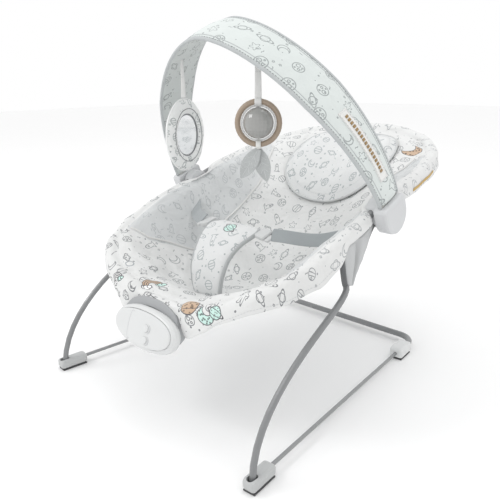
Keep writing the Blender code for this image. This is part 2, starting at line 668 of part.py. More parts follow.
def make_unit_casing():
    shell = [(0.0015, -0.0145), (0.0, -0.0095), (0.0012, -0.0045), (0.0038, -0.0012), (0.0062, 0.0),
             (0.0064, -0.0022), (0.0040, -0.0042), (0.0038, -0.0145)]
    place("unit_front_shell", oval_shell(shell), UNIT, look=UNIT_WHITE, smooth=50)

    plate = [(0.0068, -0.0020), (0.0068, 0.0016), (0.0078, 0.0027), (0.0105, 0.0034), (0.0160, 0.0038)]
    rings = [
        [(x, y, z) for x, y in oval(FACE_HALF_WIDTH - inset, FACE_HALF_HEIGHT - inset)]
        for inset, z in plate
    ]
    faceplate = place("unit_faceplate", loft(rings), UNIT, look=UNIT_WHITE, smooth=40)
    for name, (x, y) in BUTTON_PLACES.items():
        hole = turned([(BUTTON_RADIUS + 0.0002, -0.01), (BUTTON_RADIUS + 0.0002, 0.01)], 20)
        cut(faceplate, "hole_" + name, moved(hole, (x, y, 0)))
        button = turned([
            (BUTTON_RADIUS + 0.0014, -0.0042), (BUTTON_RADIUS + 0.0014, -0.0024),
            (BUTTON_RADIUS, -0.0024), (BUTTON_RADIUS, 0.0048), (BUTTON_RADIUS - 0.0009, 0.0056),
            (0.0020, 0.0060),
        ])
        place(name, moved(button, (x, y, 0)), UNIT, origin=(x, y, 0), look=UNIT_WHITE, smooth=30)

    inside = [(0.0095, -0.0366), (0.0048, -0.0352), (0.0022, -0.0320), (0.0022, -0.0170), (0.0135, -0.0170)]
    outside = [(0.0135, -0.0149), (0.0, -0.0149), (0.0, -0.0330), (0.0030, -0.0375), (0.0075, -0.0390)]
    rings = [
        [(x + REAR_CENTRE[0], y, z)
         for x, y in oval(REAR_HALF[0] - inset, REAR_HALF[1] - inset, centre_y=REAR_CENTRE[1])]
        for inset, z in inside + outside
    ]
    rear = place("unit_rear_shell", loft(rings), UNIT, look=UNIT_GREY, smooth=50)
    tube = [to_unit(p) for p in rail_curve(FRONT_RAIL) if abs(p.x) < 0.13]
    cut(rear, "unit_tube_channel", sweep(tube, SEAT_TUBE_RADIUS + GAP, 12))
    opening = rounded_box((2 * DOOR_HALF[0], 2 * DOOR_HALF[1], 0.012),
                          (*DOOR_CENTRE, -0.0390), 0.0015, 1)
    cut(rear, "battery_opening", opening)


def make_unit_inside():
    door_depth = DOOR_INNER_Z - DOOR_OUTER_Z
    door_middle = Vector((*DOOR_CENTRE, (DOOR_INNER_Z + DOOR_OUTER_Z) / 2))
    door = rounded_box((2 * DOOR_HALF[0] - 0.0008, 2 * DOOR_HALF[1] - 0.0008, door_depth),
                       door_middle, 0.0008, 1)
    door = place("battery_door", door, UNIT, origin=door_middle, look=UNIT_GREY)
    screw_place = (DOOR_CENTRE[0] + DOOR_HALF[0] - 0.005, DOOR_CENTRE[1], 0)
    cut(door, "door_screw_seat", moved(turned([(0.0030, -0.05), (0.0030, -0.0385), (0.0014, -0.0385),
                                               (0.0014, -0.03)], 12), screw_place))
    screw = turned([(0.0012, -0.0350), (0.0012, -0.0388), (0.0027, -0.0388), (0.0027, -0.0400)], 12)
    place("battery_door_screw", moved(screw, screw_place), UNIT, origin=door_middle, look=STEEL)

    for index, y in enumerate((-0.0008, 0.0148), start=1):
        half = CELL_LENGTH / 2
        cell = turned([(CELL_RADIUS - 0.001, -half), (CELL_RADIUS, -half + 0.001),
                       (CELL_RADIUS, half - 0.0025), (CELL_RADIUS - 0.001, half - 0.0015),
                       (0.0026, half - 0.0013), (0.0026, half)], 16)
        place("battery_%d" % index, moved(cell, (DOOR_CENTRE[0] - 0.0030, y, CELL_Z), TURN_TO_X), UNIT,
              look=BATTERY_SLEEVE)

    board = rounded_box((0.054, 0.028, 0.0014), (0.0150, 0.0, -0.0080), 0.0004, 1)
    place("circuit_board", board, UNIT, look=BOARD_GREEN)
    speaker = turned([(0.0080, -0.0132), (0.0130, -0.0095), (0.0135, -0.0065), (0.0020, -0.0068)], 20)
    place("speaker", moved(speaker, (-0.0340, 0.0, 0.0)), UNIT, look=DARK_PLASTIC)

    motor = turned([(MOTOR_RADIUS - 0.001, -0.0085), (MOTOR_RADIUS, -0.0075), (MOTOR_RADIUS, 0.0065),
                    (MOTOR_RADIUS - 0.001, 0.0075), (0.0032, 0.0075), (0.0032, 0.0090)], 20)
    motor = place("vibration_motor", moved(motor, MOTOR_CENTRE, TURN_TO_X), UNIT, look=STEEL)
    bore = turned([(0.0012, 0.0040), (0.0012, 0.02)], 12)
    cut(motor, "motor_bore", moved(bore, MOTOR_CENTRE, TURN_TO_X))
    shaft = turned([(0.0009, 0.0045), (0.0009, 0.0105)], 12)
    weight = place("eccentric_weight", moved(shaft, MOTOR_CENTRE, TURN_TO_X), UNIT, origin=MOTOR_CENTRE,
                   look=STEEL)
    half_disc = [(0.0085 * math.cos(a), 0.0085 * math.sin(a))
                 for a in (math.radians(-180 + 220 * k / 14) for k in range(15))]
    lobe = moved(prism(half_disc, 0.0098, 0.0150, "z"), MOTOR_CENTRE, TURN_TO_X)
    union = weight.modifiers.new("lobe", "BOOLEAN")
    union.operation = "UNION"
    union.solver = "EXACT"
    union.object = place("weight_lobe", lobe, UNIT, helper=True)


# ---- Toy bar, built upright in its own frame: the pivot line is at y = 0, z = 0 --------------------
BAR_FOOT = Matrix.Rotation(-BAR_TILT, 3, "X") @ (BAR_BASE - HUB)


def bar_point(theta):
    """The bar's middle line; theta runs from 0 at the left hub to pi at the right hub."""
    c = math.cos(theta)
    height = BAR_HEIGHT * max(math.sin(theta), 0.0) ** BAR_SHAPE
    share = height / BAR_HEIGHT
    return Vector((
        BAR_HALF_WIDTH * math.copysign(abs(c) ** BAR_SHAPE, c),
        BAR_FOOT.y + BAR_BOW * share * share,
        BAR_FOOT.z + height,
    ))


def bar_breadth(theta):
    share = max(math.sin(theta), 0.0) ** BAR_SHAPE
    return BAR_BASE_BREADTH + (BAR_TOP_BREADTH - BAR_BASE_BREADTH) * min(1.0, 1.6 * share)


def bar_section(theta, breadth, thickness, corner):
    """An eight-point rounded rectangle across the bar."""
    ahead = bar_point(min(theta + 0.01, math.pi))
    behind = bar_point(max(theta - 0.01, 0.0))
    along = (ahead - behind).normalized()
    wide = Vector((0, 1, 0))
    out = wide.cross(along).normalized()
    a, b = breadth / 2, thickness / 2
    corners = [(a, -b + corner), (a, b - corner), (a - corner, b), (-a + corner, b),
               (-a, b - corner), (-a, -b + corner), (-a + corner, -b), (a - corner, -b)]
    middle = bar_point(theta)
    return [middle + wide * u + out * v for u, v in corners]


def make_toy_bar():
    start = math.asin(((CAP_TOP + 0.0014 - BAR_FOOT.z) / BAR_HEIGHT) ** (1 / BAR_SHAPE))
    steps = 28
    angles = [start + (math.pi - 2 * start) * k / steps for k in range(steps + 1)]
    outer = [bar_section(a, bar_breadth(a), COVER_THICKNESS, 0.0022) for a in angles]
    inner = [bar_section(a, CORE_BREADTH + 0.0014, CORE_THICKNESS + 0.0012, 0.0006)
             for a in reversed(angles)]
    place("toy_bar_cover", loft(outer + inner, loop=True), BAR, look=COVER_FABRIC, smooth=60)

    core = [bar_section(a, CORE_BREADTH, CORE_THICKNESS, 0.0004)
            for a in [0.0] + angles + [math.pi]]
    for ring, place_in in ((core[0], 0), (core[-1], len(core))):
        lowered = [Vector((p.x, p.y, BOSS_RADIUS + 0.0020)) for p in ring]
        core.insert(place_in, lowered)
    place("toy_bar_core", loft(core), BAR, look=CORE_PLASTIC, smooth=60)

    for name, side in SIDES.items():
        arc = [math.radians(180 + 180 * k / 18) for k in range(19)]
        outline = [(CAP_HALF_BREADTH * math.cos(a), CAP_HALF_BREADTH * math.sin(a)) for a in arc]
        outline += [(CAP_HALF_BREADTH, CAP_TOP - 0.005), (CAP_HALF_BREADTH - 0.0015, CAP_TOP - 0.0015),
                    (CAP_HALF_BREADTH - 0.005, CAP_TOP)]
        outline += [(-y, z) for y, z in reversed(outline[-3:])]
        rings = []
        for x, inset in ((CAP_INNER_X, 0.0012), (CAP_INNER_X + 0.0012, 0.0), (CAP_OUTER_X - 0.0050, 0.0),
                         (CAP_OUTER_X - 0.0015, 0.0012), (CAP_OUTER_X, 0.0045)):
            shrink = 1 - inset / CAP_HALF_BREADTH
            rings.append([(x * side, y * shrink, z * shrink) for y, z in outline])
        cap = place("bar_cap_" + name, loft(rings), BAR, look=HUB_PLASTIC, smooth=40)
        bore = turned([(BOSS_RADIUS + GAP, CAP_INNER_X - 0.01), (BOSS_RADIUS + GAP, CAP_OUTER_X - 0.0055)],
                      28)
        cut(cap, "pivot_bore_" + name, moved(bore, ORIGIN, TURN_TO_X * side))
        slot = rounded_box((CORE_THICKNESS + 0.0018, CORE_BREADTH + 0.0012, 0.036),
                           ((BAR_HALF_WIDTH - 0.0004) * side, BAR_FOOT.y, 0.0226), 0.0003, 1)
        cut(cap, "core_slot_" + name, slot)


# ---- Hanging toys, built in the seat's frame -----------------------------------------------------
RING_X = 0.073
RING_TURN = math.radians(38)         # where the ring's face looks, from -Y towards +X
RING_CENTRE_Z = 0.443
RING_OUTER_RADIUS = 0.0355
RING_WIRE = 0.0042
INNER_RING_RADIUS = 0.0254
INNER_RING_WIRE = 0.0013
AXLE_RADIUS = 0.0011
AXLE_POCKET = INNER_RING_RADIUS + 0.0008   # how far out the axle's hole in the ring goes
BALL_RADIUS = 0.0232
MIRROR_X = -0.0778
MIRROR_SETBACK = Vector((0.0, -0.0165, -0.0065))   # from the bar's middle line towards its front edge
MIRROR_TURN = math.radians(109)
MIRROR_CENTRE_Z = 0.418
MIRROR_FRAME_RADIUS = 0.058
MIRROR_GLASS_RADIUS = 0.0328
STRAP_GAP_BELOW_BAR = 0.0082
STRAP_TO_TOY = 0.0012                # room for the toy to rock under its strap
LEAF_LENGTH = 0.052
LEAF_BREADTH = 0.024
LEAVES = {"leaf_front": (-0.55, 0.0022), "leaf_back": (0.25, -0.0022)}   # sideways lean, depth


def bar_world(x):
    """The middle of the bar over x, in the seat's frame."""
    theta = math.acos(math.copysign((abs(x) / BAR_HALF_WIDTH) ** (1 / BAR_SHAPE), x))
    return HUB + Matrix.Rotation(BAR_TILT, 3, "X") @ bar_point(theta)


def facing(angle):
    """Columns: across the face, up, and out of the face."""
    out = Vector((math.sin(angle), -math.cos(angle), 0))
    across = Vector((0, 0, 1)).cross(out)
    return Matrix((across, Vector((0, 0, 1)), out)).transposed()


def torus(major, minor, around=32, sides=10):
    rings = []
    for k in range(around):
        angle = 2 * math.pi * k / around
        radial = Vector((math.cos(angle), math.sin(angle), 0))
        rings.append([
            radial * (major + minor * math.cos(b)) + Vector((0, 0, minor * math.sin(b)))
            for b in (2 * math.pi * j / sides for j in range(sides))
        ])
    return loft(rings, loop=True)


def hanging_strap(top, bottom, top_breadth, bottom_breadth, turn, thickness=0.0012):
    face = facing(turn)
    across, out = face.col[0], face.col[2]
    rings = []
    for k in range(5):
        share = k / 4
        centre = top.lerp(bottom, share)
        half = (top_breadth + (bottom_breadth - top_breadth) * share) / 2
        rings.append([centre + across * (a * half) + out * (b * thickness / 2)
                      for a, b in ((-1, -1), (1, -1), (1, 1), (-1, 1))])
    return loft(rings)


def leaf(length, breadth, lean, depth, thickness=0.0022):
    """A pointed leaf that hangs from the origin down -Y in the face's plane, leaning sideways."""
    rings = []
    for k in range(9):
        share = k / 8
        half = max(breadth / 2 * math.sin(math.pi * min(share * 0.93 + 0.07, 1.0)) ** 0.75, 0.0012)
        bow = 0.004 * math.sin(math.pi * share)
        rings.append([
            Vector((a * half, -length * share, depth + bow + b * thickness / 2))
            for a, b in ((-1, -1), (0, -1.3), (1, -1), (1, 1), (0, 1.3), (-1, 1))
        ])
    return moved(loft(rings), ORIGIN, Matrix.Rotation(lean, 3, "Z"))


def make_ring_toy():
    anchor = bar_world(RING_X)
    top = Vector((RING_X, anchor.y, anchor.z - STRAP_GAP_BELOW_BAR))
    centre = Vector((RING_X, anchor.y, RING_CENTRE_Z))
    bottom = centre + Vector((0, 0, RING_OUTER_RADIUS + STRAP_TO_TOY))
    face = facing(RING_TURN)
    swing = make_empty("ring_toy_swing_axis", top, SEAT)
    strap = hanging_strap(ORIGIN, bottom - top, 0.0085, 0.0105, RING_TURN)
    place("ring_strap", strap, swing, look=PAD_FABRIC)
    sway = make_empty("ring_toy_sway_axis", bottom - top, swing)
    middle = Vector((0, 0, -RING_OUTER_RADIUS - STRAP_TO_TOY))
    ring = torus(RING_OUTER_RADIUS - RING_WIRE, RING_WIRE, 36, 10)
    place("toy_ring", moved(ring, middle, face), sway, look=RING_TAN, smooth=60)
    inner = torus(INNER_RING_RADIUS, INNER_RING_WIRE, 32, 8)
    inner = place("inner_ring", moved(inner, middle, face), sway, look=CLEAR_WHITE, smooth=60)
    axle = turned([(AXLE_RADIUS, -INNER_RING_RADIUS), (AXLE_RADIUS, INNER_RING_RADIUS)], 10)
    hole = turned([(AXLE_RADIUS + 0.0002, -AXLE_POCKET), (AXLE_RADIUS + 0.0002, AXLE_POCKET)], 10)
    cut(inner, "inner_ring_axle_hole", moved(hole, middle))
    place("ball_axle", moved(axle, middle), sway, look=STEEL)
    spheres = [(BALL_RADIUS * math.sin(a), -BALL_RADIUS * math.cos(a))
               for a in (math.radians(6 + 168 * k / 14) for k in range(15))]
    ball = place("ball", moved(turned(spheres, 24), middle), sway, origin=middle, look=BALL_GREY,
                 smooth=60)
    cut(ball, "ball_bore",
        moved(turned([(AXLE_RADIUS + 0.0003, -0.03), (AXLE_RADIUS + 0.0003, 0.03)], 10), middle))
    hook = middle + Vector((0, 0, -RING_OUTER_RADIUS - 0.0022))
    for name, (lean, depth) in LEAVES.items():
        shape = leaf(LEAF_LENGTH, LEAF_BREADTH, lean, depth)
        place(name, moved(shape, hook, face), sway, look=LEAF_GREY, smooth=60)


def make_mirror_toy():
    anchor = bar_world(MIRROR_X)
    top = anchor + MIRROR_SETBACK - Vector((0, 0, STRAP_GAP_BELOW_BAR + 0.001))
    bottom = Vector((top.x, top.y, MIRROR_CENTRE_Z + MIRROR_FRAME_RADIUS + STRAP_TO_TOY))
    face = facing(MIRROR_TURN)
    swing = make_empty("mirror_toy_swing_axis", top, SEAT)
    strap = hanging_strap(ORIGIN, bottom - top, 0.0060, 0.0080, RING_TURN)
    place("mirror_strap", strap, swing, look=PAD_FABRIC)
    sway = make_empty("mirror_toy_sway_axis", bottom - top, swing)
    middle = Vector((0, 0, -MIRROR_FRAME_RADIUS - STRAP_TO_TOY))
    outer = MIRROR_FRAME_RADIUS
    glass = MIRROR_GLASS_RADIUS
    frame = turned([
        (outer - 0.016, -0.0080), (outer - 0.005, -0.0062), (outer, 0.0), (outer - 0.004, 0.0058),
        (outer - 0.012, 0.0085), (glass + 0.004, 0.0070), (glass + GAP, 0.0040), (glass + GAP, 0.0010),
    ], 36)
    place("mirror_frame", moved(frame, middle, face), sway, look=PAD_FABRIC, smooth=60)
    disc = turned([(glass, 0.0013), (glass, 0.0026), (glass - 0.0008, 0.0032)], 36)
    place("mirror_glass", moved(disc, middle, face), sway, look=MIRROR_SILVER, smooth=30)


make_floor_base()
make_seat_frame()
make_sling()
make_gussets()
make_head_pillow()
make_harness()
make_unit_casing()
make_unit_inside()
make_toy_bar()
make_ring_toy()
make_mirror_toy()
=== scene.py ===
"""Looks for the baby bouncer seat: fabric, padding, prints, moulded plastic and metal round the CAD frame.

Metres, +Z up. Lengths along the seat are counted from the front feet, as y values given to at();
FEET_Y puts them into the frame. +X is the child's left.
"""

import json
import math

import bmesh
import bpy
import numpy as np
from mathutils import Matrix, Vector, noise
from mathutils.bvhtree import BVHTree


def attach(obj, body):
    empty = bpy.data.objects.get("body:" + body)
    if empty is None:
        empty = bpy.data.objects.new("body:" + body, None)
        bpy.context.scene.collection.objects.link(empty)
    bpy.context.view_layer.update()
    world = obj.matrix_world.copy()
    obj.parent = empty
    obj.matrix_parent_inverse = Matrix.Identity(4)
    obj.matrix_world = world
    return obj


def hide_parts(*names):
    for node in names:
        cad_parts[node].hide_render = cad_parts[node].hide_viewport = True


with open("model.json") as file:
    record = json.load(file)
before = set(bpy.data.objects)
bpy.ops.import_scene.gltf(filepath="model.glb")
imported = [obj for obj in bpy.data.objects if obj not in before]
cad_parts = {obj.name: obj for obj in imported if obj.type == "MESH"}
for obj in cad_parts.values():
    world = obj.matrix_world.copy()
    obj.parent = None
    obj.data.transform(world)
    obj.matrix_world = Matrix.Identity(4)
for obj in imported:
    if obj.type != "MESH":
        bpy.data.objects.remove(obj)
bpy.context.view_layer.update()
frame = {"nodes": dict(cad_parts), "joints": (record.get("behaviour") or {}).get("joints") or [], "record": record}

# ---- Places taken from the frame ------------------------------------------------------------------
NODES = frame["nodes"]
JOINT_PLACE = {joint["name"]: Vector(joint["pos_m"]) for joint in frame["joints"] if "pos_m" in joint}
FEET_Y = JOINT_PLACE["bounce"].y
SIDES = {"left": 1, "right": -1}
UP = Vector((0, 0, 1))


def at(x, y, z):
    """The frame's point for a y counted from the front feet."""
    return Vector((x, y + FEET_Y, z))


# ---- Curves and faces -----------------------------------------------------------------------------
def smooth_step(value, low, high):
    """0 up to low, 1 from high on, and an easy curve between them."""
    t = np.clip((np.asarray(value, float) - low) / (high - low), 0, 1)
    return t * t * (3 - 2 * t)


def table(rows, value, column):
    """A column of the rows, read at a value of the first column."""
    rows = np.array(rows)
    return np.interp(value, rows[:, 0], rows[:, column])


def spline(controls, per_span, loop=False):
    """Points on a Catmull-Rom curve through the controls, which may hold any number of columns."""
    rows = np.array([list(c) for c in controls], float)
    if loop:
        rows = np.vstack([rows[-1:], rows, rows[:2]])
    else:
        rows = np.vstack([2 * rows[0] - rows[1], rows, 2 * rows[-1] - rows[-2]])
    t = np.arange(per_span)[:, None] / per_span
    found = []
    for p0, p1, p2, p3 in zip(rows, rows[1:], rows[2:], rows[3:]):
        found.append(0.5 * (2 * p1 + (p2 - p0) * t + (2 * p0 - 5 * p1 + 4 * p2 - p3) * t ** 2
                            + (3 * p1 - p0 - 3 * p2 + p3) * t ** 3))
    points = np.vstack(found)
    return points if loop else np.vstack([points, rows[-2:-1]])


def travel(points):
    """How far along the path each point lies."""
    return np.concatenate([[0], np.cumsum(np.linalg.norm(np.diff(points, axis=0), axis=1))])


def evenly(points, count, loop=False):
    """The same path with count points at even steps."""
    points = np.asarray(points, float)
    if loop:
        points = np.vstack([points, points[:1]])
    along = travel(points)
    wanted = np.linspace(0, along[-1], count + 1)[:-1] if loop else np.linspace(0, along[-1], count)
    return np.column_stack([np.interp(wanted, along, column) for column in points.T])


def circle(radius, count):
    """(x, y) points round a circle."""
    return [(radius * math.cos(a), radius * math.sin(a)) for a in np.linspace(0, 2 * math.pi, count + 1)[:-1]]


def superellipse(count, power):
    """(x, y) points round a rounded square of half width 1."""
    points = []
    for k in range(count):
        c, s = math.cos(2 * math.pi * k / count), math.sin(2 * math.pi * k / count)
        size = (abs(c) ** power + abs(s) ** power) ** (-1 / power)
        points.append((size * c, size * s))
    return points


def grid_faces(rows, columns, close_rows=False, close_columns=False):
    """Faces of a grid of points, whose last row or column may join the first."""
    faces = []
    for i in range(rows if close_rows else rows - 1):
        for k in range(columns if close_columns else columns - 1):
            n, j = (k + 1) % columns, (i + 1) % rows
            faces.append((i * columns + k, i * columns + n, j * columns + n, j * columns + k))
    return faces


def capped_faces(rows, columns):
    """Faces of a loft of closed rings, with a cap on each end."""
    faces = grid_faces(rows, columns, close_columns=True)
    faces.append(tuple(reversed(range(columns))))
    faces.append(tuple(range((rows - 1) * columns, rows * columns)))
    return faces


def grid_border(rows, columns):
    """(row, column) round the edge of a grid, along its first row first."""
    return ([(0, k) for k in range(columns)] + [(i, columns - 1) for i in range(1, rows)]
            + [(rows - 1, k) for k in range(columns - 2, -1, -1)] + [(i, 0) for i in range(rows - 2, 0, -1)])


def sheet_faces(rows, columns):
    """Faces of a thin closed sheet: an upper grid, a lower grid and the rim between them."""
    size = rows * columns
    faces = grid_faces(rows, columns)
    faces += [tuple(i + size for i in reversed(face)) for face in grid_faces(rows, columns)]
    rim = [i * columns + k for i, k in grid_border(rows, columns)]
    for a, b in zip(rim, rim[1:] + rim[:1]):
        faces.append((b, a, a + size, b + size))
    return faces


def joined(parts):
    """Several (points, faces) as one."""
    points, faces = [], []
    for more_points, more_faces in parts:
        faces += [tuple(i + len(points) for i in face) for face in more_faces]
        points += more_points
    return points, faces


def tube(path, radius, sides=10, flat=1.0, wide_axis=None, loop=False):
    """(points, faces) of a round or flattened tube; radius may be one number or one for each point."""
    path = np.asarray(path, float)
    count = len(path)
    radii = np.broadcast_to(np.asarray(radius, float), (count,))
    tangents = np.roll(path, -1, 0) - np.roll(path, 1, 0) if loop else np.gradient(path, axis=0)
    tangents /= np.linalg.norm(tangents, axis=1)[:, None]
    across = Vector(tangents[0]).orthogonal()
    points = []
    for place, tangent, size in zip(path, tangents, radii):
        tangent = Vector(tangent)
        across = Vector(wide_axis) if wide_axis is not None else across
        across = (across - tangent * across.dot(tangent)).normalized()
        other = tangent.cross(across)
        for k in range(sides):
            a = 2 * math.pi * k / sides
            points.append(Vector(place) + (across * math.cos(a) + other * (math.sin(a) * flat)) * size)
    if loop:
        return points, grid_faces(count, sides, close_rows=True, close_columns=True)
    return points, capped_faces(count, sides)


# ---- Pieces ---------------------------------------------------------------------------------------
def make_piece(name, points, faces, looks, body, slot):
    """A smooth mesh that rides the body, or stands free where body is None."""
    mesh = bpy.data.meshes.new(name)
    mesh.from_pydata([tuple(p) for p in points], [], faces)
    mesh.shade_smooth()
    for look in looks:
        mesh.materials.append(look)
    piece = bpy.data.objects.new(name, mesh)
    bpy.context.scene.collection.objects.link(piece)
    if body:
        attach(piece, body)
    return piece


def make_tube(name, path, radius, look, body, slot, **shape):
    return make_piece(name, *tube(path, radius, **shape), [look], body, slot)


def make_stitches(name, path, look, body, slot, length=0.0028, gap=0.0018, radius=0.00035):
    """A run of short thread stitches along a path that lies on the cloth."""
    path = np.asarray(path, float)
    count = max(2, int(travel(path)[-1] / (length + gap)))
    dense = evenly(path, count * 3 + 1)
    stitches = [tube(dense[3 * k:3 * k + 3], [radius * 0.6, radius, radius * 0.6], 5) for k in range(count)]
    return make_piece(name, *joined(stitches), [look], body, slot)


def weld(piece, distance=0.00001):
    """Joins doubled points and turns every face outwards."""
    bm = bmesh.new()
    bm.from_mesh(piece.data)
    bmesh.ops.remove_doubles(bm, verts=bm.verts, dist=distance)
    bmesh.ops.recalc_face_normals(bm, faces=bm.faces)
    bm.to_mesh(piece.data)
    bm.free()


def stored(vertices, name):
    """A vector of every vertex, one row each."""
    found = np.empty(len(vertices) * 3, np.float32)
    vertices.foreach_get(name, found)
    return found.reshape(-1, 3).astype(float)


def set_coordinates(piece, points):
    piece.data.vertices.foreach_set("co", np.asarray(points, np.float32).ravel())
    piece.data.update()


def ripple(piece, amount, size, stretch=(1, 1, 1), weight=1.0, seed=0.0):
    """Moves points along their normals by a soft noise, for creases in the cloth."""
    points = stored(piece.data.vertices, "co")
    places = points * stretch / size + np.array([seed, 0, 0])
    shift = np.array([noise.noise(Vector(p)) for p in places]) * amount * weight
    set_coordinates(piece, points + stored(piece.data.vertices, "normal") * shift[:, None])


def inflate(piece, pressure, cap, pinned, frames):
    """Blows the closed cloth up a little; pinned holds one weight for each point, 1 where it stays."""
    before = stored(piece.data.vertices, "co")
    cloth = piece.modifiers.new("cloth", "CLOTH")
    settings = cloth.settings
    settings.quality = 5
    settings.mass = 0.15
    settings.tension_stiffness = settings.compression_stiffness = 15.0
    settings.bending_stiffness = 0.4
    settings.use_pressure = True
    settings.uniform_pressure_force = pressure
    settings.effector_weights.gravity = 0.0
    group = piece.vertex_groups.new(name="pinned")
    for level in range(1, 11):
        chosen = np.nonzero(np.round(pinned * 10).astype(int) == level)[0]
        group.add([int(i) for i in chosen], level / 10, "REPLACE")
    settings.vertex_group_mass = "pinned"
    cloth.point_cache.frame_start = 1
    cloth.point_cache.frame_end = frames
    for number in range(1, frames + 1):
        bpy.context.scene.frame_set(number)
    blown = piece.evaluated_get(bpy.context.evaluated_depsgraph_get())
    shift = stored(blown.data.vertices, "co") - before
    length = np.linalg.norm(shift, axis=1)
    shift *= np.minimum(1.0, cap / np.maximum(length, 1e-9))[:, None]
    piece.modifiers.clear()
    piece.vertex_groups.clear()
    set_coordinates(piece, before + shift)
    bpy.context.scene.frame_set(1)


def subdivide(piece):
    modifier = piece.modifiers.new("subdivision", "SUBSURF")
    modifier.levels = 1
    modifier.render_levels = 1


def add_flat(piece, flat):
    """Stores each point's place on the unrolled cloth, for the prints."""
    data = np.zeros((len(flat), 3), np.float32)
    data[:, :2] = flat
    piece.data.attributes.new("flat", "FLOAT_VECTOR", "POINT").data.foreach_set("vector", data.ravel())


def add_number(piece, name, values):
    made = piece.data.attributes.new(name, "FLOAT", "POINT")
    made.data.foreach_set("value", np.asarray(values, np.float32))


def surface_of(piece):
    return BVHTree.FromObject(piece, bpy.context.evaluated_depsgraph_get())


def laid(tree, points, direction=(0, 0, -1), lift=0.0, reach=0.08):
    """The points moved along the direction on to the surface, then lifted along its normal."""
    direction = Vector(direction).normalized()
    found = []
    for point in points:
        start = Vector(point) - direction * reach
        hit, normal, _, _ = tree.ray_cast(start, direction)
        if hit is None:
            hit, normal, _, _ = tree.find_nearest(Vector(point))
        if normal.dot(direction) > 0:
            normal = -normal
        found.append(hit + normal * lift)
    return found


# ---- Material helpers -----------------------------------------------------------------------------
def arithmetic(operation, swapped=False):
    """A method of Value that adds one maths node."""
    def act(self, other):
        return self.look.math(operation, *((other, self) if swapped else (self, other)))
    return act


class Value:
    """A number flowing through a material, with ordinary arithmetic."""

    def __init__(self, look, socket):
        self.look = look
        self.socket = socket

    __add__, __radd__ = arithmetic("ADD"), arithmetic("ADD", True)
    __sub__, __rsub__ = arithmetic("SUBTRACT"), arithmetic("SUBTRACT", True)
    __mul__, __rmul__ = arithmetic("MULTIPLY"), arithmetic("MULTIPLY", True)
    __truediv__ = arithmetic("DIVIDE")

    def __abs__(self):
        return self.look.math("ABSOLUTE", self)

    def __neg__(self):
        return self * -1.0


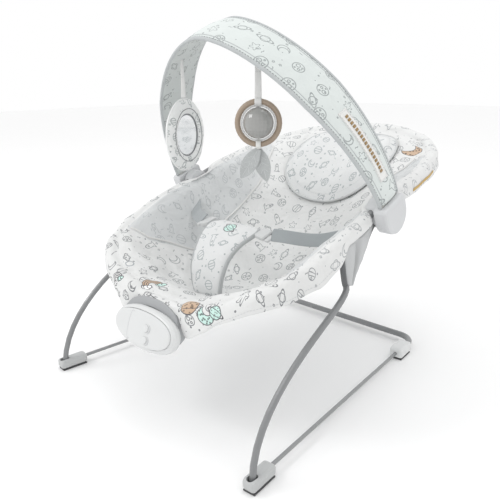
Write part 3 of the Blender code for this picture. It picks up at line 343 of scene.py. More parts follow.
class Look:
    """A Principled material that is built up node by node."""

    def __init__(self, name, colour, roughness, metallic=0.0, **sockets):
        self.material = bpy.data.materials.new(name)
        self.material.use_nodes = True
        self.tree = self.material.node_tree
        self.shader = self.tree.nodes["Principled BSDF"]
        self.put(self.shader, "Base Color", (*colour, 1.0))
        self.put(self.shader, "Roughness", roughness)
        self.put(self.shader, "Metallic", metallic)
        for socket, value in sockets.items():
            self.put(self.shader, socket.replace("_", " "), value)

    def put(self, node, socket, value):
        """Sets an input, or links it to the value's socket."""
        if isinstance(value, Value):
            value = value.socket
        if isinstance(value, bpy.types.NodeSocket):
            self.tree.links.new(value, node.inputs[socket])
        else:
            node.inputs[socket].default_value = value

    def node(self, kind, **inputs):
        made = self.tree.nodes.new("ShaderNode" + kind)
        for socket, value in inputs.items():
            self.put(made, socket.replace("_", " "), value)
        return made

    def math(self, operation, *values):
        made = self.tree.nodes.new("ShaderNodeMath")
        made.operation = operation
        for index, value in enumerate(values):
            self.put(made, index, value)
        return Value(self, made.outputs[0])

    def least(self, *values):
        found = values[0]
        for value in values[1:]:
            found = self.math("MINIMUM", found, value)
        return found

    def most(self, a, b):
        return self.math("MAXIMUM", a, b)

    def length(self, u, v):
        return self.math("SQRT", u * u + v * v)

    def place(self):
        """The point in the frame, in metres."""
        return self.node("TexCoord").outputs["Object"]

    def attribute(self, name):
        made = self.node("Attribute")
        made.attribute_name = name
        return made

    def flat(self):
        """The point on the unrolled cloth, in metres."""
        return self.attribute("flat").outputs["Vector"]

    def number(self, name):
        """A number stored at each point of the mesh."""
        return Value(self, self.attribute(name).outputs["Fac"])

    def split(self, vector):
        made = self.node("SeparateXYZ", Vector=vector)
        return [Value(self, made.outputs[axis]) for axis in "XYZ"]

    def noise(self, where, scale, detail=2.0, roughness=0.5, distortion=0.0):
        made = self.node("TexNoise", Vector=where, Scale=scale, Detail=detail, Roughness=roughness,
                         Distortion=distortion)
        return Value(self, made.outputs["Fac"])

    def cells(self, where, scale, randomness=1.0):
        """Cells round scattered points of the flat cloth."""
        made = self.node("TexVoronoi", Vector=where, Scale=scale, Randomness=randomness)
        made.voronoi_dimensions = "2D"
        return made

    def ramp(self, value, low, high, to_low=0.0, to_high=1.0):
        made = self.node("MapRange")
        made.interpolation_type = "SMOOTHSTEP"
        for index, number in enumerate((value, low, high, to_low, to_high)):
            self.put(made, index, number)
        return Value(self, made.outputs[0])

    def mix(self, factor, a, b):
        made = self.node("Mix")
        made.data_type = "RGBA"
        self.put(made, 0, factor)
        for index, value in ((6, a), (7, b)):
            self.put(made, index, (*value, 1.0) if isinstance(value, tuple) else value)
        return made.outputs[2]

    def bump(self, height, distance, strength=1.0):
        """Adds a bump on top of those made before."""
        made = self.node("Bump", Height=height, Distance=distance, Strength=strength)
        previous = self.shader.inputs["Normal"].links
        if previous:
            self.put(made, "Normal", previous[0].from_socket)
        self.put(self.shader, "Normal", made.outputs[0])

    def bumps(self, where, scale, detail, distance, roughness=0.5, distortion=0.0):
        """A bump of noise."""
        self.bump(self.noise(where, scale, detail, roughness, distortion), distance)

    def mottled(self, pattern, colour, dark, light):
        """The colour, times dark where the pattern is 0 and times light where it's 1."""
        return self.mix(pattern, shade(colour, dark), shade(colour, light))

    def paint(self, colour):
        self.put(self.shader, "Base Color", colour)

    def vary_roughness(self, pattern, low, high, smoothest, roughest):
        self.put(self.shader, "Roughness", self.ramp(pattern, low, high, smoothest, roughest))

    def inked(self, distance, width):
        """1 on a line where distance is under width, fading to 0 just outside it."""
        return self.ramp(distance, width, width * 1.6, 1.0, 0.0)


def shade(colour, factor):
    return tuple(c * factor for c in colour)


def weave(look, u, v, pitch):
    """Crossing threads, as a bump."""
    turn = 2 * math.pi / pitch
    look.bump(look.math("SINE", u * turn) * look.math("SINE", v * turn), 0.00012, 0.6)


def plastic(name, colour, roughness, grain=0.00004, coat=0.0):
    """Moulded plastic: fine spark-eroded grain, soft colour drift and slightly uneven gloss."""
    look = Look(name, colour, roughness, IOR=1.46, Coat_Weight=coat, Coat_Roughness=0.15)
    where = look.place()
    look.paint(look.mottled(look.noise(where, 14.0, 3.0), colour, 0.955, 1.03))
    look.vary_roughness(look.noise(where, 60.0, 4.0), 0.3, 0.7, roughness * 0.85, roughness * 1.15)
    look.bumps(where, 900.0, 2.0, grain)
    return look.material


def painted_metal(name, colour, roughness=0.36):
    """Powder-coated steel tube: orange-peel bump, faint streaks and scuffs near the floor."""
    look = Look(name, colour, roughness, metallic=0.35, Coat_Weight=0.25, Coat_Roughness=0.25)
    where = look.place()
    height = look.split(where)[2]
    scuff = look.ramp(look.noise(where, 85.0, 6.0, 0.7), 0.60, 0.72)
    scuff = scuff * look.ramp(height, 0.0, 0.10, 0.55, 0.06)
    tone = look.mottled(look.noise(where, 18.0, 3.0), colour, 0.92, 1.07)
    look.paint(look.mix(scuff, tone, shade(colour, 1.35)))
    look.vary_roughness(look.noise(where, 40.0, 4.0), 0.3, 0.7, roughness * 0.8, roughness * 1.25)
    look.bumps(where, 520.0, 2.0, 0.00006)
    return look.material


def bare_metal(name, colour, roughness):
    """Plated steel with fine brushing."""
    look = Look(name, colour, roughness, metallic=1.0)
    brushed = look.noise(look.place(), 300.0, 3.0, distortion=0.5)
    look.paint(look.mottled(brushed, colour, 0.85, 1.1))
    look.bump(brushed, 0.00003)
    return look.material


def mirror_film():
    """The toy's plastic mirror, with faint smears."""
    look = Look("mirror_film", (0.86, 0.87, 0.88), 0.05, metallic=1.0)
    where = look.place()
    look.vary_roughness(look.noise(where, 45.0, 4.0), 0.4, 0.75, 0.03, 0.12)
    look.bumps(where, 60.0, 2.0, 0.00006)
    return look.material


def rubber(name, colour):
    look = Look(name, colour, 0.8)
    where = look.place()
    look.paint(look.mottled(look.noise(where, 120.0, 4.0), colour, 0.8, 1.2))
    look.bumps(where, 700.0, 2.0, 0.0001)
    return look.material


def plain_cloth(name, colour, pitch=0.0009, sheen=0.25, drift=0.07, crease_shaded=False):
    """Plain woven or knitted cloth, with its weave placed in space, and painted shade along a stored fold line
    when asked for.
    """
    look = Look(name, colour, 0.9, Sheen_Weight=sheen, Sheen_Roughness=0.5)
    where = look.place()
    x, y, z = look.split(where)
    weave(look, x + z * 0.6, y - z * 0.8, pitch)
    look.bumps(where, 220.0, 4.0, 0.0003, 0.6)
    tone = look.noise(where, 30.0, 4.0, 0.6)
    base = look.mottled(tone, colour, 1 - drift, 1 + drift * 0.6)
    # painted shade: the colour darkens along the stored fold line, where the fold would lie in shadow
    if crease_shaded:
        base = look.mix(look.number("crease_shade"), base, shade(colour, 0.55))
    look.paint(base)
    return look.material


def thread(name, colour):
    """Sewing thread with a fine twist."""
    look = Look(name, colour, 0.7, Sheen_Weight=0.3)
    twist = look.noise(look.place(), 1800.0, 1.0)
    look.paint(look.mottled(twist, colour, 0.8, 1.1))
    look.bump(twist, 0.0001)
    return look.material


THREAD = thread("thread", (0.62, 0.64, 0.65))
BAR_THREAD = thread("bar_thread", (0.30, 0.32, 0.33))
RIBBON_THREAD = thread("ribbon_thread", (0.45, 0.46, 0.47))


# ---- Printed cloth --------------------------------------------------------------------------------
INK = (0.10, 0.10, 0.11)
SOFT_INK = (0.38, 0.40, 0.42)
TAN = (0.60, 0.43, 0.30)
MINT = (0.62, 0.84, 0.78)
LINE = 0.00055
EDGE = 0.0003               # how softly a filled shape ends
CRATERS = ((-0.30, 0.22, 0.34), (0.42, 0.46, 0.12), (0.34, -0.34, 0.20), (-0.28, -0.60, 0.10))
PUFFS = ((-0.28, 0.24), (0.0, 0.32), (0.28, 0.22))


class Print:
    """Motifs drawn with distances on the flat cloth; each draws over what is there already."""

    def __init__(self, look, where, ground):
        self.look = look
        self.u, self.v, _ = look.split(where)
        self.where = where
        self.colour = ground

    def local(self, centre, turn=0.0):
        u, v = self.u - centre[0], self.v - centre[1]
        c, s = math.cos(turn), math.sin(turn)
        return u * c + v * s, v * c - u * s

    def inside(self, distance):
        return self.look.ramp(distance, -EDGE, EDGE, 1.0, 0.0)

    def fill(self, distance, colour):
        self.colour = self.look.mix(self.inside(distance), self.colour, colour)

    def line(self, distance, ink=INK, width=LINE):
        self.colour = self.look.mix(self.look.inked(abs(distance), width), self.colour, ink)

    def disc(self, u, v, radius):
        return self.look.length(u, v) - radius

    def spots(self, shape, size, margin, strength, colour):
        """Dark spots inside a shape, fading out towards its edge."""
        look = self.look
        cells = look.cells(self.where, size).outputs["Distance"]
        spotted = look.ramp(cells, 0.22, 0.30, 1.0, 0.0) * look.ramp(shape, -margin, 0.0, 1.0, 0.0)
        self.colour = look.mix(spotted * strength, self.colour, colour)

    def planet(self, centre, radius, tint, turn):
        u, v = self.local(centre, turn)
        body = self.disc(u, v, radius)
        self.fill(body, tint)
        self.spots(body, 2.42 / radius, radius * 0.16, 0.85, shade(tint, 0.28))
        self.line(body)
        self.line((self.look.length(u, v * 3.4) - radius * 1.45) * 0.5)

    def crescent(self, centre, radius, tint, turn):
        u, v = self.local(centre, turn)
        shape = self.look.most(self.disc(u, v, radius), -self.disc(u - radius * 0.76, v, radius * 0.80))
        self.fill(shape, tint)
        self.spots(shape, 2.6 / radius, radius * 0.08, 1.0, shade(tint, 0.25))
        self.line(shape)

    def rainbow(self, centre, radius, tint, turn):
        """Arched bands that end in a white and a mint cloud."""
        look = self.look
        u, v = self.local(centre, turn)
        rings = look.length(u, v)
        self.fill(look.most(look.most(rings - radius, radius * 0.4 - rings), -v), tint)
        for share in (1.0, 0.8, 0.6, 0.4):
            self.line(look.most(abs(rings - radius * share), -v))
        for side, colour in ((-0.7, (1, 1, 1)), (0.7, MINT)):
            for offset, size in PUFFS:
                puff = self.disc(u - radius * (side + offset), v + radius * 0.08, radius * size)
                self.fill(puff, colour)
                self.line(look.most(puff, -v - radius * 0.5))

    def star_edge(self, u, v, wave, mean):
        """The distance past the outline of a five-pointed star."""
        angle = self.look.math("ARCTAN2", v, u)
        return self.look.length(u, v) - (self.look.math("COSINE", angle * 5.0) * wave + mean)

    def star(self, centre, radius):
        self.line(self.star_edge(*self.local(centre), radius * 0.26, radius * 0.74))

    def circle(self, centre, radius):
        self.line(self.disc(*self.local(centre), radius), SOFT_INK, LINE * 1.5)

    def thread(self, start, end):
        """A straight line from one place to the other."""
        du, dv = end[0] - start[0], end[1] - start[1]
        span = math.hypot(du, dv)
        u, v = self.local(start)
        along = (u * du + v * dv) / span
        aside = abs(u * (dv / span) - v * (du / span))
        self.line(self.look.most(aside, self.look.most(-along, along - span)))

    def cell(self, size, randomness, shift=0.0):
        """The place within a cell of a jittered grid, turned at random, and three random numbers."""
        look = self.look
        u, v = self.u + shift, self.v + shift * 1.7
        made = look.cells(look.node("CombineXYZ", X=u, Y=v).outputs[0], 1.0 / size, randomness)
        cell_u, cell_v, _ = look.split(made.outputs["Position"])
        pick, spin, scale = look.split(made.outputs["Color"])
        u, v = u - cell_u, v - cell_v
        c, s = look.math("COSINE", spin * 6.28), look.math("SINE", spin * 6.28)
        return u * c + v * s, v * c - u * s, pick, scale

    def draw_chosen(self, motifs, pick, scale, coverage, ink):
        """Inks the motif whose share of the picks holds the cell's pick, in the covered cells."""
        look = self.look
        chosen = motifs[0][1]
        for share, motif in motifs[1:]:
            past = look.math("GREATER_THAN", pick, share)
            chosen = chosen * (1.0 - past) + motif * past
        shown = look.inked(chosen, LINE) * look.math("LESS_THAN", scale, coverage)
        self.colour = look.mix(shown, self.colour, ink)

    def scatter(self, size, ink, coverage):
        """One outlined motif in each cell: a planet of one of three kinds, a moon, a rocket or a star."""
        look = self.look
        u, v, pick, scale = self.cell(size, 0.55)
        radius = (scale * 0.07 + 0.21) * size
        reach = look.length(u, v)
        edge = abs(reach - radius)
        craters = look.least(*[abs(self.disc(u - radius * a, v - radius * b, radius * r))
                               for a, b, r in CRATERS])
        bands = look.most(abs(abs(v + u * 0.3) - radius * 0.30), reach - radius)
        ringed = look.least(abs(reach - radius * 0.72), abs(self.disc(u, v * 3.0, radius * 1.35)) * 0.5)
        moon = abs(look.most(reach - radius, -self.disc(u - radius * 0.5, v, radius * 0.85)))
        hull = self.disc(u * 2.6, v, radius * 1.25)
        fins = look.most(abs(u) + v * 0.9 + radius * 0.35, -v - radius * 1.3)
        window = abs(self.disc(u, v - radius * 0.35, radius * 0.17))
        rocket = look.least(abs(look.least(hull * 0.5, look.most(fins, abs(u) - radius * 0.8))), window)
        star = abs(self.star_edge(u, v, radius * 0.22, radius * 0.66))
        self.draw_chosen(((0.0, look.least(edge, craters)), (0.22, look.least(edge, bands)), (0.38, ringed),
                          (0.58, moon), (0.72, rocket), (0.90, star)), pick, scale, coverage, ink)

    def sprinkle(self, size, ink):
        """Small dots, stars, dashes and rings between the larger motifs."""
        look = self.look
        u, v, pick, scale = self.cell(size, 0.9, 0.37)
        radius = size * 0.10
        reach = look.length(u, v)
        star = abs(self.star_edge(u, v, radius * 0.30, radius * 0.95))
        dash = look.most(abs(v + look.math("SINE", u * (26.0 / size)) * radius * 0.3), abs(u) - radius * 1.6)
        self.draw_chosen(((0.0, reach - radius * 0.12), (0.40, star), (0.65, dash),
                          (0.82, abs(reach - radius * 0.6))), pick, scale, 0.7, ink)


def printed_cloth(name, colour, cell, ink, coverage=0.95, planet=None):
    """Padded cotton with outlined motifs, and a coloured planet at the given flat place."""
    look = Look(name, colour, 0.88, Sheen_Weight=0.2, Sheen_Roughness=0.5)
    where, place = look.flat(), look.place()
    tone = look.noise(place, 22.0, 4.0, 0.6)
    drawn = Print(look, where, look.mottled(tone, colour, 0.95, 1.03))
    drawn.scatter(cell, ink, coverage)
    drawn.sprinkle(cell * 0.42, ink)
    if planet:
        drawn.planet(planet, 0.0105, MINT, -0.5)
    look.paint(drawn.colour)
    weave(look, drawn.u, drawn.v, 0.0010)
    look.bumps(place, 160.0, 4.0, 0.0004, 0.6)
    look.bumps(place, 48.0, 3.0, 0.0022, 0.5, 0.6)
    return look.material


# ---- The seat cover -------------------------------------------------------------------------------
# The seat tube's centre line on the +X side, as half width, y and z: the front half, then the back.
FRONT_RAIL = [
    (0.000, 0.050, 0.180), (0.072, 0.051, 0.186), (0.130, 0.058, 0.203), (0.168, 0.077, 0.222),
    (0.192, 0.106, 0.238), (0.206, 0.148, 0.255),
]
BACK_RAIL = [
    (0.000, 0.633, 0.400), (0.060, 0.627, 0.398), (0.112, 0.610, 0.391), (0.154, 0.583, 0.381),
    (0.184, 0.543, 0.369),
]
# The seat from its front edge to its head edge: half width, y and z at the tube; y and z in the
# middle; the exponent that rounds the section.
STATIONS = [
    (0.156, 0.073, 0.214, 0.066, 0.181, 1.7), (0.191, 0.107, 0.237, 0.100, 0.171, 2.1),
    (0.206, 0.147, 0.253, 0.146, 0.152, 2.4), (0.212, 0.200, 0.276, 0.200, 0.138, 2.6),
    (0.213, 0.256, 0.295, 0.258, 0.131, 2.8), (0.211, 0.316, 0.313, 0.325, 0.170, 2.7),
    (0.211, 0.375, 0.331, 0.385, 0.215, 2.5), (0.209, 0.435, 0.345, 0.448, 0.265, 2.3),
    (0.201, 0.492, 0.358, 0.510, 0.315, 2.2), (0.184, 0.543, 0.369, 0.568, 0.357, 2.0),
    (0.150, 0.587, 0.382, 0.616, 0.390, 2.0),
]
RIM_INSET = 0.015
SEAT_THICKNESS = 0.012
COLUMNS = 61
FRONT_END_Y = 0.0725        # the cloth's rim follows FRONT_RIM before this y, and SIDE_RIM after it
HEM = 0.0038                # how thick the apron is at its hem

# How the cloth goes round the tube: the radius of its roll and how deep the apron hangs below it, at
# each y along the side, and at each x across the front, where the soothing unit clips over it.
SIDE_RIM = [
    (0.073, 0.0105, 0.0155), (0.090, 0.0105, 0.0195), (0.115, 0.0105, 0.0250), (0.150, 0.0105, 0.0285),
    (0.192, 0.0100, 0.0290), (0.207, 0.0095, 0.0220), (0.217, 0.0085, 0.0090), (0.284, 0.0084, 0.0084),
    (0.298, 0.0068, 0.0076), (0.337, 0.0062, 0.0070), (0.356, 0.0085, 0.0100), (0.376, 0.0105, 0.0140),
    (0.400, 0.0110, 0.0160), (0.560, 0.0120, 0.0170),
]
FRONT_RIM = [
    (0.050, 0.0078, 0.0070), (0.058, 0.0120, 0.0200), (0.063, 0.0150, 0.0400), (0.074, 0.0150, 0.0370),
    (0.088, 0.0130, 0.0295), (0.105, 0.0112, 0.0235), (0.130, 0.0105, 0.0160), (0.156, 0.0105, 0.0150),
]
# How far inwards and up the roll sits at each y, to pass the side hub.
HUB_DODGE = [
    (0.284, 0.000, 0.000), (0.298, 0.016, 0.002), (0.337, 0.017, 0.002), (0.356, 0.004, 0.001),
    (0.376, 0.000, 0.000), (0.400, 0.000, 0.000), (0.560, 0.000, 0.001),
]
# Half width of the printed middle panel at each y.
PANEL_EDGE = [(0.060, 0.260), (0.105, 0.205), (0.150, 0.158), (0.230, 0.132), (0.420, 0.130),
              (0.500, 0.160), (0.560, 0.260)]


class SeatSurface:
    """The seat's upper face as a grid: rows from the front to the head, columns from right to left."""

    def __init__(self):
        self.rows = spline(STATIONS, 9)
        t = np.linspace(-1, 1, COLUMNS)
        self.f = np.sign(t) * (1 - (1 - np.abs(t)) ** 1.35)
        rail_x, rail_y, rail_z, mid_y, mid_z, shape = [column[:, None] for column in self.rows.T]
        f = self.f[None, :]
        self.grid = np.stack([
            (rail_x - RIM_INSET) * f,
            mid_y + (rail_y - mid_y) * f * f,
            mid_z + (rail_z - mid_z) * np.abs(f) ** shape + SEAT_THICKNESS / 2,
        ], axis=2)
        middle = COLUMNS // 2
        u = np.array([travel(row) for row in self.grid])
        self.u = u - u[:, middle:middle + 1]
        self.v = travel(self.grid[:, middle])[:, None] + 0 * self.u
        self.border = grid_border(len(self.rows), COLUMNS)
        self.rail = np.array([self.rail_beside(i, k) for i, k in self.border])

    def flat_at(self, x, y):
        """The unrolled place of the point over (x, y)."""
        distance = np.hypot(self.grid[:, :, 0] - x, self.grid[:, :, 1] - y)
        i, k = np.unravel_index(distance.argmin(), distance.shape)
        return float(self.u[i, k]), float(self.v[i, k])

    def rail_beside(self, i, k):
        """The point of the seat tube beside a border place."""
        (half, y, z), f = self.rows[i][:3], self.f[k]
        if i in (0, len(self.rows) - 1) and abs(f) < 1:
            x, ys, zs = spline(FRONT_RAIL if i == 0 else BACK_RAIL, 12).T
            return f * half, np.interp(abs(f) * half, x, ys), np.interp(abs(f) * half, x, zs)
        if y < FRONT_RAIL[-1][1]:
            x, ys, zs = spline(FRONT_RAIL, 12).T
            return math.copysign(np.interp(y, ys, x), f), y, np.interp(y, ys, zs)
        return math.copysign(half, f), y, z

    def side(self, y):
        """Half width and z of the seat tube at this y."""
        return [float(np.interp(y, self.rows[:, 1], self.rows[:, column])) for column in (0, 2)]


SEAT = SeatSurface()


def rim_rings():
    """Rings of points from the seat's edge over the tube, down the apron, round its hem and back under."""
    rail = SEAT.rail
    tangent = np.roll(rail, -1, 0) - np.roll(rail, 1, 0)
    tangent /= np.linalg.norm(tangent, axis=1)[:, None]
    outward = np.cross(tangent, UP)
    outward /= np.linalg.norm(outward, axis=1)[:, None]
    up = np.cross(outward, tangent)
    inward, lift = [table(HUB_DODGE, rail[:, 1], column) for column in (1, 2)]
    radius, depth = [
        np.where(rail[:, 1] < FRONT_END_Y, table(FRONT_RIM, np.abs(rail[:, 0]), column),
                 table(SIDE_RIM, rail[:, 1], column))
        for column in (1, 2)
    ]
    centre = rail - outward * inward[:, None] + np.array(UP) * lift[:, None]
    sway = np.array([noise.noise(Vector((p[0] * 22, p[1] * 22, 3.0))) for p in rail])
    flare = 0.0012 + 0.0022 * sway
    over_tube = [(radius * math.cos(a), radius * math.sin(a))
                 for a in np.radians((150, 122, 95, 68, 42, 18, 0))]
    apron = [(radius + flare * share, -depth * share) for share in (0.2, 0.4, 0.6, 0.8, 0.94)]
    hem = [(radius + flare - HEM * share, -depth) for share in (0.2, 0.8)]
    lining = [(radius + flare * share - HEM, -depth * share) for share in (0.92, 0.6, 0.3)]
    under_tube = [(radius * a, radius * b) for a, b in ((0.35, -0.92), (-0.45, -1.0), (-1.1, -0.8))]
    steps = over_tube + apron + hem + lining + under_tube
    return [centre + outward * a[:, None] + up * b[:, None] for a, b in steps], outward


def make_seat_cover():
    """The padded sling: its upper face, its rim round the tube and its underside, as one closed cloth."""
    rows = len(SEAT.rows)
    top = SEAT.grid.reshape(-1, 3)
    under = SEAT.grid.copy()
    under[:, :, 2] -= 0.004 + (SEAT_THICKNESS - 0.002) * (1 - np.abs(SEAT.f) ** 6)
    rings, outward = rim_rings()
    border = [i * COLUMNS + k for i, k in SEAT.border]
    count = len(border)
    points = np.vstack([top] + rings + [under.reshape(-1, 3)])
    under_start = len(top) + len(rings) * count
    loops = [border] + [[len(top) + r * count + k for k in range(count)] for r in range(len(rings))]
    loops.append([under_start + i for i in border])
    faces = grid_faces(rows, COLUMNS)
    for inner, outer in zip(loops, loops[1:]):
        for k in range(count):
            n = (k + 1) % count
            faces.append((inner[k], outer[k], outer[n], inner[n]))
    faces += [tuple(i + under_start for i in reversed(face)) for face in grid_faces(rows, COLUMNS)]

    flat = [np.stack([SEAT.u, SEAT.v], axis=2).reshape(-1, 2)]
    travelled, previous = np.zeros(count), top[border]
    for ring in rings:
        travelled = travelled + np.linalg.norm(ring - previous, axis=1)
        flat.append(flat[0][border] + outward[:, :2] * travelled[:, None])
        previous = ring
    flat.append(flat[0] + 0.7)
    layer = np.repeat(np.arange(len(rings) + 2), [len(top)] + [count] * len(rings) + [len(top)])
    in_panel = np.where(layer == 0, 0.0, np.where(layer > len(rings), -0.1, 0.05))
    in_panel[:len(top)] = table(PANEL_EDGE, top[:, 1], 1) - np.abs(top[:, 0])
    bold = 1 - 0.75 * smooth_step(points[:, 1], 0.100, 0.190)
    bold = np.where(layer == 0, np.maximum(bold, 0.55), bold)

    world = points + np.array([0, FEET_Y, 0])
    cover = make_piece("seat_cover", world, faces, [seat_print()], "seat", "seat_fabric")
    add_flat(cover, np.vstack(flat))
    add_number(cover, "zone", in_panel)
    add_number(cover, "bold", bold)
    aside = np.abs(points[:, 0])
    ripple(cover, 0.0045, 0.055, (1.0, 0.55, 1.0), smooth_step(aside, 0.04, 0.12) * (layer == 0), 4.0)
    ripple(cover, 0.0018, 0.022, (1.0, 0.6, 1.0), 0.35 + 0.65 * (layer > 0), 9.0)
    slack = (1 - smooth_step(points[:, 1], 0.120, 0.190)) * (layer < 8)
    slack *= np.where(layer > 0, smooth_step(aside, 0.060, 0.085), 1.0)
    ripple(cover, 0.0034, 0.030, (0.45, 1.5, 0.8), slack, 14.0)
    pinned = np.where(layer > 0, 1.0, np.where(aside > 0.97 * 0.2, 0.6, 0.0))
    inflate(cover, 1.2, 0.006, pinned, frames=14)
    subdivide(cover)
    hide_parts("seat_sling")
    return cover


def seat_print():
    """White panel and grey sides, an all-over print, and the coloured motifs near the front."""
    look = Look("seat_print", (0.86, 0.86, 0.85), 0.88, Sheen_Weight=0.25, Sheen_Roughness=0.5)
    where, place = look.flat(), look.place()
    middle = look.ramp(look.number("zone"), -0.0008, 0.0008)
    tone = look.noise(place, 20.0, 4.0, 0.6)
    white = look.mix(tone, (0.74, 0.745, 0.74), (0.81, 0.815, 0.81))
    grey = look.mix(tone, (0.61, 0.625, 0.63), (0.69, 0.705, 0.71))
    drawn = Print(look, where, look.mix(middle, grey, white))
    ink = look.mix(look.number("bold") * middle, (0.47, 0.49, 0.50), (0.22, 0.23, 0.24))
    drawn.scatter(0.036, ink, 0.97)
    drawn.sprinkle(0.016, ink)
    drawn.rainbow((-0.045, 0.004), 0.0190, TAN, 1.45)
    drawn.planet((0.070, -0.029), 0.0155, TAN, 0.2)
    drawn.crescent((0.104, -0.040), 0.0150, MINT, 1.2)
    drawn.planet((0.122, -0.037), 0.0100, MINT, -0.5)
    drawn.thread((-0.020, -0.022), (0.016, -0.026))
    drawn.star((-0.024, -0.022), 0.0045)
    drawn.star((0.020, -0.026), 0.0050)
    drawn.circle((-0.115, 0.004), 0.006)
    drawn.rainbow((-0.098, -0.040), 0.0125, (0.85, 0.85, 0.84), 0.9)
    drawn.crescent(SEAT.flat_at(0.141, 0.551), 0.022, TAN, 2.6)
    drawn.star(SEAT.flat_at(0.120, 0.500), 0.006)
    look.paint(drawn.colour)
    weave(look, drawn.u, drawn.v, 0.0010)
    look.bumps(place, 150.0, 5.0, 0.0005, 0.65)
    look.bumps(place, 26.0, 3.0, 0.0060, 0.5, 0.7)
    return look.material


def make_piping(cover, cloth):
    """Narrow piping and a line of stitches where the middle panel meets the side panels."""
    tree = surface_of(cover)
    for name, side in SIDES.items():
        path = [at(side * half, y, 0.3) for y, half in evenly(PANEL_EDGE, 60)
                if half < SEAT.side(y)[0] - RIM_INSET - 0.004]
        make_tube("panel_piping_" + name, evenly(laid(tree, path, lift=0.0004), 120), 0.0021, cloth, "seat",
                  "seat_fabric", sides=8)
        inner = laid(tree, [at(side * (half - 0.006), y, 0.3) for y, half in PANEL_EDGE[2:-1]], lift=0.0003)
        make_stitches("panel_stitches_" + name, evenly(spline(inner, 10), 100), THREAD, "seat", "seat_fabric")


def make_hem_stitches(cover):
    """A line of stitches along the apron, a little above its hem."""
    tree = surface_of(cover)
    for name, side in SIDES.items():
        near = [p for p in SEAT.rail if p[0] * side > 0.10 and p[1] < 0.200]
        found = []
        for x, y, z in sorted(near, key=lambda p: p[1]):
            depth = table(SIDE_RIM, y, 2) if y > 0.073 else table(FRONT_RIM, abs(x), 2)
            outward = Vector((side, -0.9 if y < 0.09 else -0.25, 0)).normalized()
            start = at(x, y, z - depth + 0.0065) + outward * 0.03
            found += laid(tree, [start], -outward, lift=0.0002, reach=0.02)
        make_stitches("hem_stitches_" + name, evenly(found, 100), THREAD, "seat", "seat_fabric")


def make_head_tag(cover, look):
    """The narrow cloth tag that runs along the near side of the head end."""
    tree = surface_of(cover)
    path = []
    for y in (0.404, 0.425, 0.446, 0.467, 0.488):
        x, z = SEAT.side(y)
        path += laid(tree, [at(x + 0.012, y, z - 0.009)], (-1, 0.35, 0), lift=0.0006, reach=0.02)
    make_tube("head_tag", evenly(spline(path, 6), 30), 0.0027, look, "seat", "webbing", sides=12, flat=0.18,
              wide_axis=(0.1, 0.1, 1))


# ---- Head pillow, crotch pad and harness ----------------------------------------------------------
PILLOW_HALF = (0.114, 0.078)
PILLOW_Y = 0.517
PILLOW_LOBE_X = 0.085                       # where the side lobes reach their full height
PILLOW_MIDDLE, PILLOW_LOBE = 0.010, 0.024   # heights
CROTCH_PROFILE = [                          # y, z and half width, from the seat up and forwards
    (0.1460, 0.1560, 0.027), (0.1440, 0.1850, 0.033), (0.1480, 0.2100, 0.037), (0.1600, 0.2330, 0.040),
    (0.1790, 0.2510, 0.046), (0.2020, 0.2620, 0.052), (0.2240, 0.2680, 0.052),
]
CROTCH_HALF_THICKNESS = 0.0085
BACK_OF_PRINT = 0.2                         # how far the print of a pad's visible side is shifted
STRAP_ROUTE = [                             # from the buckle out to the slot in the seat's side
    (0.0805, 0.2150, 0.2674), (0.112, 0.2330, 0.2640), (0.132, 0.2460, 0.2620), (0.148, 0.2580, 0.2620),
    (0.166, 0.2730, 0.2670), (0.181, 0.2860, 0.2720),
]
STRAP_HALF = (0.012, 0.0010)
STRAP_WIDE_AXIS = Vector((0, 0.80, 0.60))


def make_head_pillow(cover, print_look, edge_look):
    """A dished pad with a lobe on each side; its upper half is sewn to its lower half along a binding."""
    rings, spokes = 16, 88
    plan = [(0.0, 0.0)] + [(PILLOW_HALF[0] * (r / rings) * a, PILLOW_HALF[1] * (r / rings) * b)
                           for r in range(1, rings + 1) for a, b in superellipse(spokes, 2.6)]
    ground = laid(surface_of(cover), [at(x, PILLOW_Y + y, 0.45) for x, y in plan], lift=0.0025, reach=0.01)
    tops, unders = [], []
    for index, ((x, _), base) in enumerate(zip(plan, ground)):
        rho = 0.0 if index == 0 else (1 + (index - 1) // spokes) / rings
        lobe = min(1.0, abs(x) / PILLOW_LOBE_X) ** 2
        tops.append(base + UP * ((1 - rho ** 3.2) * (PILLOW_MIDDLE + PILLOW_LOBE * lobe) + 0.0025))
        unders.append(base + UP * (0.0006 + 0.0018 * rho))
    size, edge = len(plan), 1 + (rings - 1) * spokes
    faces = [(0, 1 + k, 1 + (k + 1) % spokes) for k in range(spokes)]
    faces += [(a + 1, d + 1, c + 1, b + 1) for a, b, c, d in grid_faces(rings, spokes, close_columns=True)]
    faces += [tuple(i + size for i in reversed(face)) for face in faces]
    for k in range(spokes):
        n = (k + 1) % spokes
        faces.append((edge + k, size + edge + k, size + edge + n, edge + n))
    pillow = make_piece("head_pillow_pad", tops + unders, faces, [print_look], "seat", "pad_fabric")
    add_flat(pillow, plan + plan)
    pinned = np.where(np.arange(2 * size) < edge, 0.0, 1.0)
    ripple(pillow, 0.0012, 0.018, weight=1 - pinned, seed=2.0)
    inflate(pillow, 3.0, 0.006, pinned, frames=16)
    subdivide(pillow)
    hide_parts("head_pillow")
    rim = [a.lerp(b, 0.5) for a, b in zip(tops[edge:], unders[edge:])]
    make_tube("pillow_binding", rim, 0.0021, edge_look, "seat", "pad_fabric", sides=8, loop=True)
    inner = [top + UP * 0.0007 for top in tops[edge - 2 * spokes:edge - spokes]]
    inner = laid(surface_of(pillow), inner, lift=0.0003, reach=0.02)
    make_stitches("pillow_stitches", inner + inner[:1], THREAD, "seat", "pad_fabric")


